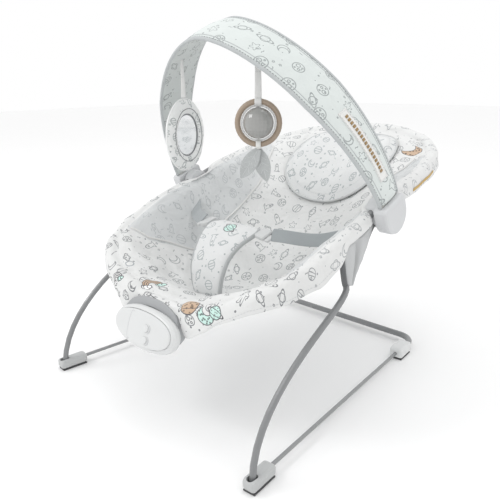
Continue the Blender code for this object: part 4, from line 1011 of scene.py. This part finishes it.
def make_crotch_pad(print_look, edge_look):
    """The pad that rises between the legs and folds forwards, with a binding along each edge."""
    rows = spline(CROTCH_PROFILE, 8)
    section = superellipse(40, 2.8)
    last = len(rows) - 1
    points, flat, edges = [], [], {1: [], -1: []}
    for i, ((y, z, half), travelled) in enumerate(zip(rows, travel(rows[:, :2]))):
        step = rows[min(i + 1, last)] - rows[max(i - 1, 0)]
        out = Vector((0, step[0], step[1])).normalized().cross(Vector((1, 0, 0)))
        end = min(i, last - i, 7) / 7
        thick = CROTCH_HALF_THICKNESS * (0.45 + 0.55 * math.sin(end * math.pi / 2))
        half *= 1 - 0.12 * (1 - min((last - i) / 6, 1.0)) ** 2
        for a, b in section:
            points.append(at(a * half, y, z) + out * (b * thick))
            flat.append((a * half + (BACK_OF_PRINT if b < 0 else 0.0), travelled))
        for side in edges:
            edges[side].append(at(side * half * 1.005, y, z))
    pad = make_piece("crotch_pad_cover", points, capped_faces(len(rows), len(section)), [print_look], "seat",
                     "pad_fabric")
    add_flat(pad, flat)
    weld(pad, 0.00005)
    pinned = smooth_step(np.abs(stored(pad.data.vertices, "co")[:, 0]), 0.032, 0.046)
    ripple(pad, 0.0014, 0.020, (1.6, 0.8, 0.8), seed=6.0)
    inflate(pad, 3.0, 0.004, pinned, frames=14)
    subdivide(pad)
    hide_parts("crotch_pad")
    for name, side in SIDES.items():
        make_tube("crotch_binding_" + name, evenly(edges[side], 60), 0.0042, edge_look, "seat", "pad_fabric",
                  sides=10, flat=0.5, wide_axis=(0, 0.7, -0.7))


def make_waist_straps(look):
    """Flat webbing from each buckle to the seat's side, twisting a little on its way."""
    half, thickness = STRAP_HALF
    upper = [(-1, -0.4), (-0.97, -1), (-0.5, -1), (0, -1), (0.5, -1), (0.97, -1), (1, -0.4)]
    section = upper + [(-a, -b) for a, b in upper]
    for name, side in SIDES.items():
        route = spline([at(x * side, y, z) for x, y, z in STRAP_ROUTE], 10)
        points, flat = [], []
        for i, (p, travelled) in enumerate(zip(route, travel(route))):
            along = Vector(route[min(i + 1, len(route) - 1)] - route[max(i - 1, 0)]).normalized()
            thin = along.cross(STRAP_WIDE_AXIS).normalized()
            wide = thin.cross(along).normalized()
            twist = 0.0006 * math.sin(travelled * 90)
            for a, b in section:
                points.append(Vector(p) + wide * (a * half) + thin * (b * thickness + twist * a * a))
                flat.append((a * half, travelled))
        strap = make_piece("waist_webbing_" + name, points, capped_faces(len(route), len(section)), [look],
                           "seat", "webbing")
        add_flat(strap, flat)
        weld(strap, 0.00005)
        subdivide(strap)
        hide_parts("waist_strap_" + name)


# ---- Toy bar --------------------------------------------------------------------------------------
BAR_TILT = math.radians(22.8)
BAR_HALF_WIDTH = 0.2323
BAR_HEIGHT = 0.2908
BAR_SHAPE = 1.22
BAR_BOW = -0.0224
BAR_BASE_BREADTH = 0.053
BAR_TOP_BREADTH = 0.088
BAR_FOOT_Y, BAR_FOOT_Z = Matrix.Rotation(-BAR_TILT, 2) @ Vector((-0.0031, 0.0130))
BAR_START = math.asin(((0.0254 - BAR_FOOT_Z) / BAR_HEIGHT) ** (1 / BAR_SHAPE))
BAR_TO_WORLD = Matrix.Translation(JOINT_PLACE["toy_bar_tilt"]) @ Matrix.Rotation(BAR_TILT, 4, "X")
BAR_TURN = BAR_TO_WORLD.to_3x3()
BINDING = 0.0066
LABEL_START, LABEL_END = 0.035, 0.152       # along the bar from its left end
LABEL_HALF = 0.0100


def bar_frame(theta):
    """Middle point, the direction across the bar, the direction out of it and its half breadth."""
    def middle(angle):
        height = BAR_HEIGHT * max(math.sin(angle), 0.0) ** BAR_SHAPE
        c = math.cos(angle)
        return Vector((BAR_HALF_WIDTH * math.copysign(abs(c) ** BAR_SHAPE, c),
                       BAR_FOOT_Y + BAR_BOW * (height / BAR_HEIGHT) ** 2, BAR_FOOT_Z + height))
    along = (middle(theta + 0.01) - middle(theta - 0.01)).normalized()
    wide = Vector((0, 1, 0))
    share = max(math.sin(theta), 0.0) ** BAR_SHAPE
    half = (BAR_BASE_BREADTH + (BAR_TOP_BREADTH - BAR_BASE_BREADTH) * min(1.0, 1.6 * share)) / 2
    return BAR_TO_WORLD @ middle(theta), BAR_TURN @ wide, BAR_TURN @ wide.cross(along).normalized(), half


def bar_angles(count):
    """Angles at even steps along the bar, and its length."""
    dense = np.linspace(BAR_START, math.pi - BAR_START, 400)
    along = travel(np.array([bar_frame(a)[0] for a in dense]))
    return np.interp(np.linspace(0, along[-1], count), along, dense), along[-1]


def on_bar(tree, angle, offset, above, lift):
    """The place on the sleeve at this offset across the bar, found by looking down from above it."""
    middle, wide, out, _ = bar_frame(angle)
    return laid(tree, [middle + wide * offset + out * above], -out, lift=lift, reach=0.01)[0]


def make_toy_bar(print_look, shaded_inner_look, binding_look):
    """The padded sleeve, with a binding, a row of stitches and a fine line along each edge; its inner face takes a
    darker copy of the print as painted shade.
    """
    count, across = 150, 15
    columns = across * 2
    angles, total = bar_angles(count)
    points, flat = [], []
    for angle, v in zip(angles, np.linspace(0, total, count)):
        middle, wide, out, half = bar_frame(angle)
        for sign, crown in ((1, 0.0048), (-1, 0.0026)):
            for t in np.linspace(-1, 1, across) * sign:
                height = 0.0014 + crown * (1 - abs(t) ** 2.6)
                points.append(middle + wide * (t * (half - 0.002)) + out * (height * sign))
                flat.append((t * half + (0.0 if sign > 0 else 0.3), v))
    cover = make_piece("toy_bar_sleeve", points, capped_faces(count, columns), [print_look, shaded_inner_look],
                       "toy_bar", "bar_fabric")
    add_flat(cover, flat)
    # the inner half's faces get the darker copy of the print: painted shade
    for face in cover.data.polygons:
        used = [i % columns for i in face.vertices]
        face.material_index = int(min(used) >= across - 1 and max(used) >= across)
    weld(cover)
    row, number = np.divmod(np.arange(len(points)), columns)
    edge = np.minimum(number % across, across - 1 - number % across)
    pinned = np.where(edge == 0, 1.0, np.where(edge == 1, 0.5, 0.0))
    pinned = np.where((row < 2) | (row > count - 3), 1.0, pinned)
    ripple(cover, 0.0010, 0.020, weight=1 - pinned, seed=5.0)
    inflate(cover, 2.0, 0.0035, pinned, frames=14)
    subdivide(cover)
    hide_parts("toy_bar_cover")
    tree = surface_of(cover)
    for name, side in (("front", -1), ("back", 1)):
        edge_path, stitched, line = [], [], []
        for angle in angles:
            middle, wide, out, half = bar_frame(angle)
            edge_path.append(middle + wide * (side * (half - BINDING * 0.5)) + out * 0.0006)
            stitched.append(on_bar(tree, angle, side * (half - BINDING * 0.9), 0.0068, 0.0003))
            line.append(on_bar(tree, angle, side * (half - BINDING * 1.55), 0.01, 0.0001))
        make_tube("bar_binding_" + name, edge_path, BINDING * 0.5, binding_look, "toy_bar", "bar_fabric",
                  sides=12, flat=0.75, wide_axis=wide)
        make_stitches("bar_stitches_" + name, stitched, BAR_THREAD, "toy_bar", "bar_fabric", length=0.0036,
                      gap=0.0012, radius=0.00045)
        make_tube("bar_line_" + name, line, 0.00055, binding_look, "toy_bar", "bar_fabric", sides=6)
    return cover


def make_bar_label(cover, cloth, gold):
    """The long white label sewn to the bar, with a row of plain gold dashes."""
    tree = surface_of(cover)
    angles, total = bar_angles(200)

    def angle_at(v):
        return float(np.interp(v, np.linspace(0, total, 200), angles))

    rows, columns = 40, 7
    points = [on_bar(tree, angle_at(v), u, 0.02, lift) for lift in (0.0009, 0.0001)
              for v in np.linspace(LABEL_START, LABEL_END, rows)
              for u in np.linspace(-LABEL_HALF, LABEL_HALF, columns)]
    weld(make_piece("bar_label", points, sheet_faces(rows, columns), [cloth], "toy_bar", "bar_fabric"))
    dashes = []
    for v in np.arange(LABEL_START + 0.012, LABEL_END - 0.010, 0.0058):
        path = [on_bar(tree, angle_at(v + step), 0.0005, 0.02, 0.0014) for step in (0.0, 0.0019, 0.0038)]
        dashes.append(tube(path, 0.0034, 8, 0.12, bar_frame(angle_at(v))[1]))
    make_piece("label_dashes", *joined(dashes), [gold], "toy_bar", "bar_fabric")
    ends = (LABEL_START + 0.002, LABEL_END - 0.002)
    outline = [on_bar(tree, angle_at(v), u, 0.02, 0.0012)
               for u, run in ((-0.0088, ends), (0.0088, ends[::-1])) for v in np.linspace(*run, 40)]
    make_stitches("label_stitches", outline, THREAD, "toy_bar", "bar_fabric", radius=0.0003)


# ---- Leg sleeves ----------------------------------------------------------------------------------
SLEEVE_FRONT = [(0.2150, 0.2715), (0.2160, 0.2560), (0.2178, 0.2380), (0.2200, 0.2215), (0.2225, 0.2125)]
SLEEVE_REAR = [(0.2950, 0.2935), (0.2990, 0.2850), (0.2800, 0.2580), (0.2560, 0.2320), (0.2345, 0.2105)]
SLEEVE_LOW = (0.2190, 0.213)                # x of its middle, and z, where the leg comes out
SLEEVE_LEAN = 0.0070 / 0.077                # how far it leans inwards as it rises
SLEEVE_HEM = ((0.2240, 0.2120), (0.2290, 0.2110), (0.2340, 0.2115))


def sleeve_x(z):
    return SLEEVE_LOW[0] - SLEEVE_LEAN * (z - SLEEVE_LOW[1])


def make_leg_sleeves(cloth, dark):
    """The slack fabric sleeve over each leg's top: a fold down its side with painted shade along it, and a dark
    strip down its front that is painted shade.
    """
    rows, columns = 25, 25
    front, rear = spline(SLEEVE_FRONT, 6), spline(SLEEVE_REAR, 6)
    for name, side in SIDES.items():
        points, crease_shade = [], []
        for sign in (1, -1):
            for i, (fore, aft) in enumerate(zip(evenly(front, rows), evenly(rear, rows))):
                for t in np.arange(columns) / (columns - 1):
                    y, z = fore * (1 - t) + aft * t
                    crown = max(math.sin(math.pi * t), 0.0) ** 0.6 * (1 - 0.25 * (i / (rows - 1)) ** 2)
                    past = t - 0.60 + 0.25 * (1 - i / rows)
                    valley = math.exp(-(past / 0.06) ** 2)
                    ridge = math.exp(-((past - 0.15) / 0.09) ** 2)
                    thick = 0.0022 + 0.0058 * crown - 0.0032 * valley + 0.0014 * ridge
                    # the fold's valley, stored for the painted shade in the cloth's colour
                    crease_shade.append(0.7 * valley * math.sin(math.pi * i / (rows - 1)))
                    points.append(at(side * (sleeve_x(z) + sign * thick), y, z))
        sleeve = make_piece("leg_sleeve_" + name, points, sheet_faces(rows, columns), [cloth], "seat",
                            "gusset_fabric")
        add_number(sleeve, "crease_shade", crease_shade)
        weld(sleeve)
        ripple(sleeve, 0.0022, 0.030, (1, 1.0, 0.5), seed=1.0 + side)
        ripple(sleeve, 0.0007, 0.010, seed=3.0)
        subdivide(sleeve)
        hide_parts("gusset_" + name)
        # painted shade: a near-black strip along the front edge, standing in for the front face in shadow
        edge = [at(side * sleeve_x(z), y - 0.0012, z) for y, z in evenly(front, 30)]
        make_tube("sleeve_shaded_front_" + name, edge, 0.0052, dark, "seat", "gusset_fabric", sides=12, flat=0.42,
                  wide_axis=(1, 0, 0))
        hem = [at(side * (SLEEVE_LOW[0] + 0.0038), y, z + 0.0050) for y, z in SLEEVE_HEM]
        make_stitches("sleeve_stitches_" + name, evenly(hem, 12), THREAD, "seat", "gusset_fabric")


# ---- Hanging toys ---------------------------------------------------------------------------------
RING_CENTRE = JOINT_PLACE["ball_spin"]
RING_TURN = math.radians(38)
RING_OUTER = 0.0355
LEAF_LENGTH, LEAF_BREADTH = 0.052, 0.024
MIRROR_TURN = math.radians(109)
MIRROR_RADIUS = 0.058
MIRROR_INNER = 0.0336
RING_LOOP = [(0.0, 0.0), (0.0038, -0.0012), (0.0056, -0.0045), (0.0050, -0.0080), (0.0030, -0.0108),
             (0.0012, -0.0118), (-0.0012, -0.0118), (-0.0030, -0.0108), (-0.0050, -0.0080),
             (-0.0056, -0.0045), (-0.0038, -0.0012)]        # out from the ring's face, and up from its top


def facing(angle):
    """A frame whose +Z looks along -Y turned by the angle towards +X, with +Y up."""
    out = Vector((math.sin(angle), -math.cos(angle), 0))
    return Matrix((UP.cross(out).normalized(), UP, out)).transposed().to_4x4()


def make_ribbon(toy, widths, look, strap):
    """A ribbon folded in two and sewn, from the bar down to a toy."""
    top, bottom = JOINT_PLACE[toy + "_toy_swing"], JOINT_PLACE[toy + "_toy_sway"]
    face = facing(RING_TURN)
    across, out = face.col[0].to_3d(), face.col[2].to_3d()
    rows, section = 30, superellipse(16, 3.0)
    points = []
    for share in np.arange(rows) / (rows - 1):
        seam = 1 - 0.22 * math.exp(-((share - 0.45) / 0.04) ** 2)
        half = (widths[0] + (widths[1] - widths[0]) * share) / 2 * (1 - 0.12 * (1 - seam))
        bow = 0.0008 * math.sin(share * 7.0)
        for a, b in section:
            points.append(top.lerp(bottom, share) + across * (a * half) + out * (b * 0.0011 * seam + bow))
    ribbon = make_piece(toy + "_ribbon", points, capped_faces(rows, len(section)), [look], strap,
                        "pad_fabric")
    weld(ribbon, 0.00005)
    subdivide(ribbon)
    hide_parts(strap)
    seam_at = top.lerp(bottom, 0.45) + out * 0.0011
    path = [seam_at + across * step for step in np.linspace(-0.4, 0.4, 7) * sum(widths) / 2]
    make_stitches(toy + "_ribbon_seam", path, RIBBON_THREAD, strap, "pad_fabric", 0.0016, 0.0008, 0.0003)


def make_leaf(name, lean, depth, look, vein_look, replaces):
    """A stitched felt leaf with raised veins, cupped and gently waved."""
    hook = RING_CENTRE - UP * (RING_OUTER + 0.0022)
    turn = Matrix.Translation(hook) @ facing(RING_TURN) @ Matrix.Rotation(lean, 4, "Z")

    def on_leaf(s, t, lift):
        half = max(LEAF_BREADTH / 2 * math.sin(math.pi * min(s * 0.93 + 0.07, 1.0)) ** 0.75, 0.0010)
        bow = 0.004 * math.sin(math.pi * s) + 0.0018 * t * t - 0.0008 * math.sin(5 * s) * t
        return turn @ Vector((t * half, -LEAF_LENGTH * s, depth + bow + lift))

    rows, columns = 30, 13
    points = [on_leaf(i / (rows - 1), t, sign * (0.00035 + 0.0008 * (1 - abs(t) ** 3)))
              for sign in (1, -1) for i in range(rows) for t in np.linspace(-1, 1, columns)]
    leaf = make_piece(name, points, sheet_faces(rows, columns), [look], "ring_toy", "leaf_fabric")
    weld(leaf)
    ripple(leaf, 0.0005, 0.012, seed=lean)
    subdivide(leaf)
    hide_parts(replaces)
    outline = [on_leaf(s, t, 0.0007) for t, ends in ((-0.78, (0.05, 0.95)), (0.78, (0.95, 0.05)))
               for s in np.linspace(*ends, 41)]
    make_stitches(name + "_stitches", outline, vein_look, "ring_toy", "leaf_fabric", radius=0.0003)
    veins = [[on_leaf(0.04 + 0.90 * k / 12, 0.0, 0.0011) for k in range(13)]]
    for start in (0.22, 0.40, 0.58):
        for side in (-1, 1):
            veins.append([on_leaf(start + 0.14 * k / 6, side * 0.62 * k / 6, 0.0011) for k in range(7)])
    make_piece(name + "_veins", *joined([tube(vein, 0.0004, 6, 0.6) for vein in veins]), [vein_look],
               "ring_toy", "leaf_fabric")


def make_mirror_frame(print_look, ring_look):
    """The padded printed ring round the mirror, with its binding, bezel and stitched line."""
    centre = JOINT_PLACE["mirror_toy_sway"] - UP * (MIRROR_RADIUS + 0.0012)
    turn = Matrix.Translation(centre) @ facing(MIRROR_TURN)
    outer = MIRROR_RADIUS - 0.0006
    sides = 96

    def bulge(t, power):
        return 0.0058 * math.sin(math.pi * min(t * 0.94 + 0.06, 1)) ** power

    steps = np.arange(13) / 12
    profile = [(t, 0.0020 + bulge(t, 0.55)) for t in steps]
    profile += [(t, -0.0008 - bulge(t, 0.6)) for t in steps[::-1]]
    flat, points = [], []
    for index, (t, z) in enumerate(profile + profile[:1]):
        for x, y in circle(MIRROR_INNER + (outer - MIRROR_INNER) * t, sides):
            flat.append((x + (0.3 if index > 12 else 0.0), y))
            points.append(turn @ Vector((x, y, z)))
    faces = grid_faces(len(profile) + 1, sides, close_columns=True)
    ring = make_piece("mirror_padding", points, faces, [print_look], "mirror_toy", "pad_fabric")
    add_flat(ring, flat)
    weld(ring)
    reach = np.array([(turn.inverted() @ vertex.co).xy.length for vertex in ring.data.vertices])
    pinned = np.maximum(smooth_step(reach, outer - 0.003, outer - 0.0005),
                        1 - smooth_step(reach, MIRROR_INNER, MIRROR_INNER + 0.003))
    ripple(ring, 0.0008, 0.014, weight=1 - pinned, seed=8.0)
    ripple(ring, 0.0016, 0.011, weight=smooth_step(reach, outer - 0.010, outer - 0.002), seed=12.0)
    inflate(ring, 3.0, 0.003, pinned, frames=14)
    subdivide(ring)
    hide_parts("mirror_frame")

    def round_ring(radius, height):
        return [turn @ Vector((x, y, height)) for x, y in circle(radius, sides)]

    line = laid(surface_of(ring), round_ring(0.0425, 0.0083), -turn.col[2].to_3d(), lift=0.0002, reach=0.01)
    for name, path, thick, look in (("mirror_binding", round_ring(outer, 0.0006), 0.0016, print_look),
                                    ("mirror_bezel", round_ring(0.0339, 0.0036), 0.0011, ring_look),
                                    ("mirror_ring_line", line, 0.0006, ring_look)):
        make_tube(name, path, thick, look, "mirror_toy", "pad_fabric", sides=8, loop=True)


def make_ring_ties(cloth, clip_look):
    """The ribbon looped over the ring down to the ball, and the small clip that holds the leaves."""
    face = facing(RING_TURN)
    across, out = face.col[0].to_3d(), face.col[2].to_3d()
    loop = evenly(spline([(d, RING_OUTER + 0.0004 + h) for d, h in RING_LOOP], 6, loop=True), 44, loop=True)
    clip = [(d, h - RING_OUTER + 0.0043) for d, h in circle(0.0062, 28)]
    for name, path, half, look, slot, sides, flat in (
        ("ring_loop", loop, 0.0052, cloth, "pad_fabric", 14, 0.13),
        ("leaf_clip", clip, 0.0038, clip_look, "clear_white", 12, 0.30),
    ):
        make_tube(name, [RING_CENTRE + out * d + UP * h for d, h in path], half, look, "ring_toy", slot,
                  sides=sides, flat=flat, wide_axis=across, loop=True)


# ---- The soothing unit's parting line, and painted shade beside its buttons -----------------------
UNIT_TO_WORLD = Matrix.Translation(at(0, 0.012, 0.150)) @ Matrix.Rotation(math.radians(70), 4, "X")


def make_unit_details(groove_and_shade_look):
    """The curved parting line a third of the way along the face, and a grey arc beside each button that is painted
    shade of its raised edge.
    """
    tree = surface_of(NODES["unit_faceplate"])
    out = UNIT_TO_WORLD.to_3x3().col[2]

    def on_face(path, lift):
        return laid(tree, [UNIT_TO_WORLD @ Vector((x, y, 0.03)) for x, y in path], -out, lift=lift, reach=0.0)

    seam = [(-0.0225 - 0.0075 * math.cos(a), 0.0262 * math.sin(a))
            for a in np.linspace(-math.pi / 2, math.pi / 2, 40)]
    make_tube("unit_parting_line", on_face(seam, -0.0001), 0.00042, groove_and_shade_look, "seat", "unit_white",
              sides=8)
    # painted shade: thin grey arcs along each button's edge, where its rounded side turns from the light
    shape = [0.0008 * math.sin(math.pi * k / 23) ** 0.6 + 0.00008 for k in range(24)]
    for name, (x, y) in (("upper", (0.013, 0.0035)), ("lower", (0.0145, -0.0140))):
        arc = [(x + 0.0092 * math.cos(a), y + 0.0078 * math.sin(a)) for a in np.linspace(-1.2, 1.0, 24)]
        make_tube("button_shade_arc_" + name, on_face(arc, 0.0001), shape, groove_and_shade_look, "seat", "unit_white",
                  sides=8)


# ---- Assembly -------------------------------------------------------------------------------------
# The slot of each plain plastic, its material's name, its colour and its roughness.
PLASTICS = (
    ("foot_plastic", "shoe_plastic", (0.50, 0.51, 0.51), 0.5),
    ("bracket_plastic", "bracket_plastic", (0.74, 0.75, 0.75), 0.45),
    ("hub_plastic", "hub_plastic", (0.63, 0.64, 0.65), 0.42),
    ("buckle_plastic", "buckle_plastic", (0.60, 0.61, 0.61), 0.35),
    ("unit_grey", "unit_grey", (0.40, 0.41, 0.42), 0.45),
    ("circuit_board", "circuit_board", (0.02, 0.12, 0.05), 0.4),
    ("battery_sleeve", "battery_sleeve", (0.06, 0.07, 0.09), 0.3),
    ("speaker_black", "speaker_black", (0.02, 0.02, 0.022), 0.6),
    ("core_plastic", "core_plastic", (0.70, 0.70, 0.66), 0.4),
    ("ring_tan", "ring_tan", (0.36, 0.285, 0.22), 0.42),
    ("clear_white", "inner_ring_white", (0.78, 0.79, 0.79), 0.25),
)


def finish_nodes():
    """Gives each CAD node that stays visible its material."""
    looks = {slot: plastic(name, colour, roughness) for slot, name, colour, roughness in PLASTICS}
    looks["frame_tube"] = painted_metal("frame_paint", (0.245, 0.25, 0.255))
    looks["floor_wire"] = painted_metal("wire_paint", (0.30, 0.305, 0.31))
    looks["steel"] = bare_metal("plated_steel", (0.62, 0.62, 0.61), 0.32)
    looks["foot_rubber"] = rubber("sole_rubber", (0.075, 0.075, 0.078))
    looks["unit_white"] = plastic("unit_white", (0.69, 0.70, 0.70), 0.34, grain=0.00001, coat=0.2)
    looks["ball_grey"] = plastic("ball_grey", (0.33, 0.33, 0.32), 0.2, grain=0.000005, coat=0.5)
    slots = {part["node"]: part["material_slot"] for part in frame["record"]["subparts"]}
    chosen = {name: looks.get(slots.get(name)) for name in NODES}
    chosen["mirror_glass"] = mirror_film()
    for name, look in chosen.items():
        if look:
            NODES[name].data.materials.clear()
            NODES[name].data.materials.append(look)


def make_everything():
    finish_nodes()
    cloth = plain_cloth("white_cloth", (0.74, 0.74, 0.73))
    pad_white, pad_ink = (0.74, 0.75, 0.75), (0.42, 0.45, 0.46)

    cover = make_seat_cover()
    make_piping(cover, cloth)
    make_hem_stitches(cover)
    make_head_tag(cover, plain_cloth("tag_cloth", (0.58, 0.38, 0.11), 0.0006))
    make_head_pillow(cover, printed_cloth("pad_print", pad_white, 0.030, pad_ink),
                     plain_cloth("pale_binding", (0.62, 0.635, 0.635), 0.0007))
    crotch_print = printed_cloth("crotch_print", pad_white, 0.030, pad_ink, planet=(0.204, 0.131))
    make_crotch_pad(crotch_print, plain_cloth("grey_cloth", (0.50, 0.515, 0.52)))
    make_waist_straps(plain_cloth("webbing_cloth", (0.33, 0.355, 0.365), 0.0016))
    # the second print is the first one darker: painted shade for the bar's inner face
    bar = make_toy_bar(printed_cloth("bar_print", (0.72, 0.765, 0.75), 0.037, (0.34, 0.37, 0.37), 1.0),
                       printed_cloth("bar_inner_shaded", (0.60, 0.63, 0.62), 0.037, (0.30, 0.32, 0.32), 1.0),
                       plain_cloth("binding_cloth", (0.52, 0.545, 0.55), 0.0007))
    make_bar_label(bar, plain_cloth("label_cloth", (0.86, 0.86, 0.84), 0.0005, sheen=0.4),
                   plain_cloth("gold_thread_cloth", (0.33, 0.20, 0.065), 0.0006, sheen=0.6))
    # painted shade in both: the sleeve cloth darkens along its fold, and the near-black cloth on the sleeve fronts
    # stands in for shadow
    make_leg_sleeves(plain_cloth("gusset_cloth", (0.54, 0.55, 0.555), crease_shaded=True),
                     plain_cloth("front_shade_strip_cloth", (0.17, 0.175, 0.18), 0.0007))
    make_ribbon("ring", (0.0085, 0.0105), cloth, "ring_strap")
    make_ribbon("mirror", (0.0045, 0.0080), cloth, "mirror_strap")
    felt = plain_cloth("leaf_felt", (0.50, 0.52, 0.52), 0.0007, sheen=0.5, drift=0.12)
    felt_line = plain_cloth("leaf_line", (0.66, 0.68, 0.68), 0.0007)
    make_leaf("felt_leaf_front", -0.55, 0.0022, felt, felt_line, "leaf_front")
    make_leaf("felt_leaf_back", 0.25, -0.0022, felt, felt_line, "leaf_back")
    make_mirror_frame(printed_cloth("mirror_print", (0.82, 0.83, 0.825), 0.024, (0.42, 0.45, 0.45)),
                      plastic("bezel_grey", (0.22, 0.23, 0.24), 0.4))
    make_ring_ties(cloth, plastic("clip_white", (0.74, 0.74, 0.72), 0.35))
    # this grey serves the parting line, a real seam, and the painted shade beside the buttons
    make_unit_details(plastic("groove_and_shade_grey", (0.57, 0.58, 0.59), 0.5))


# ---- Floor, light and camera ----------------------------------------------------------------------
FLOOR_HALF = 9.0
LIGHTS = (("key_light", (-1.5, -1.7, 2.3), 0.9, 16), ("top_light", (0.2, 0.5, 2.6), 1.2, 8))
CAMERA_PLACE = (0.640, -0.7422, 0.508)
CAMERA_YAW, CAMERA_PITCH, CAMERA_ROLL = (math.radians(angle) for angle in (43.36, 17.32, -0.69))
CAMERA_LENS = 39.87


def place_free(name, data):
    made = bpy.data.objects.new(name, data)
    bpy.context.scene.collection.objects.link(made)
    return made


def make_stage():
    """A plain pale floor, an even white surround and two soft lights, aimed at the seat's middle."""
    look = Look("studio_floor", (0.93, 0.93, 0.93), 0.9)
    look.paint(look.mix(look.noise(look.place(), 3.0), (0.955, 0.955, 0.955), (0.965, 0.965, 0.965)))
    corners = [(x * FLOOR_HALF, y * FLOOR_HALF, 0) for x, y in ((-1, -1), (1, -1), (1, 1), (-1, 1))]
    floor = make_piece("studio_floor", corners, [(0, 1, 2, 3)], [look.material], None, None)
    world = bpy.data.worlds.new("studio_air")
    world.use_nodes = True
    world.node_tree.nodes["Background"].inputs["Color"].default_value = (1.0, 1.0, 1.0, 1.0)
    world.node_tree.nodes["Background"].inputs["Strength"].default_value = 1.0
    bpy.context.scene.world = world
    bpy.context.scene.view_settings.view_transform = "Standard"
    for name, place, size, power in LIGHTS:
        light = bpy.data.lights.new(name, "AREA")
        light.size = size
        light.energy = power
        lamp = place_free(name, light)
        lamp.location = place
        lamp.rotation_euler = (Vector((0, 0, 0.25)) - Vector(place)).to_track_quat("-Z", "Y").to_euler()


def make_camera():
    """The camera that was solved for the photo."""
    lens = bpy.data.cameras.new("photo_camera")
    lens.lens = CAMERA_LENS
    lens.sensor_width = 36.0
    camera = place_free("photo_camera", lens)
    turn = (Matrix.Rotation(CAMERA_YAW, 4, "Z") @ Matrix.Rotation(math.pi / 2 - CAMERA_PITCH, 4, "X")
            @ Matrix.Rotation(CAMERA_ROLL, 4, "Z"))
    camera.matrix_world = Matrix.Translation(CAMERA_PLACE) @ turn
    bpy.context.scene.camera = camera


make_everything()
make_stage()
make_camera()
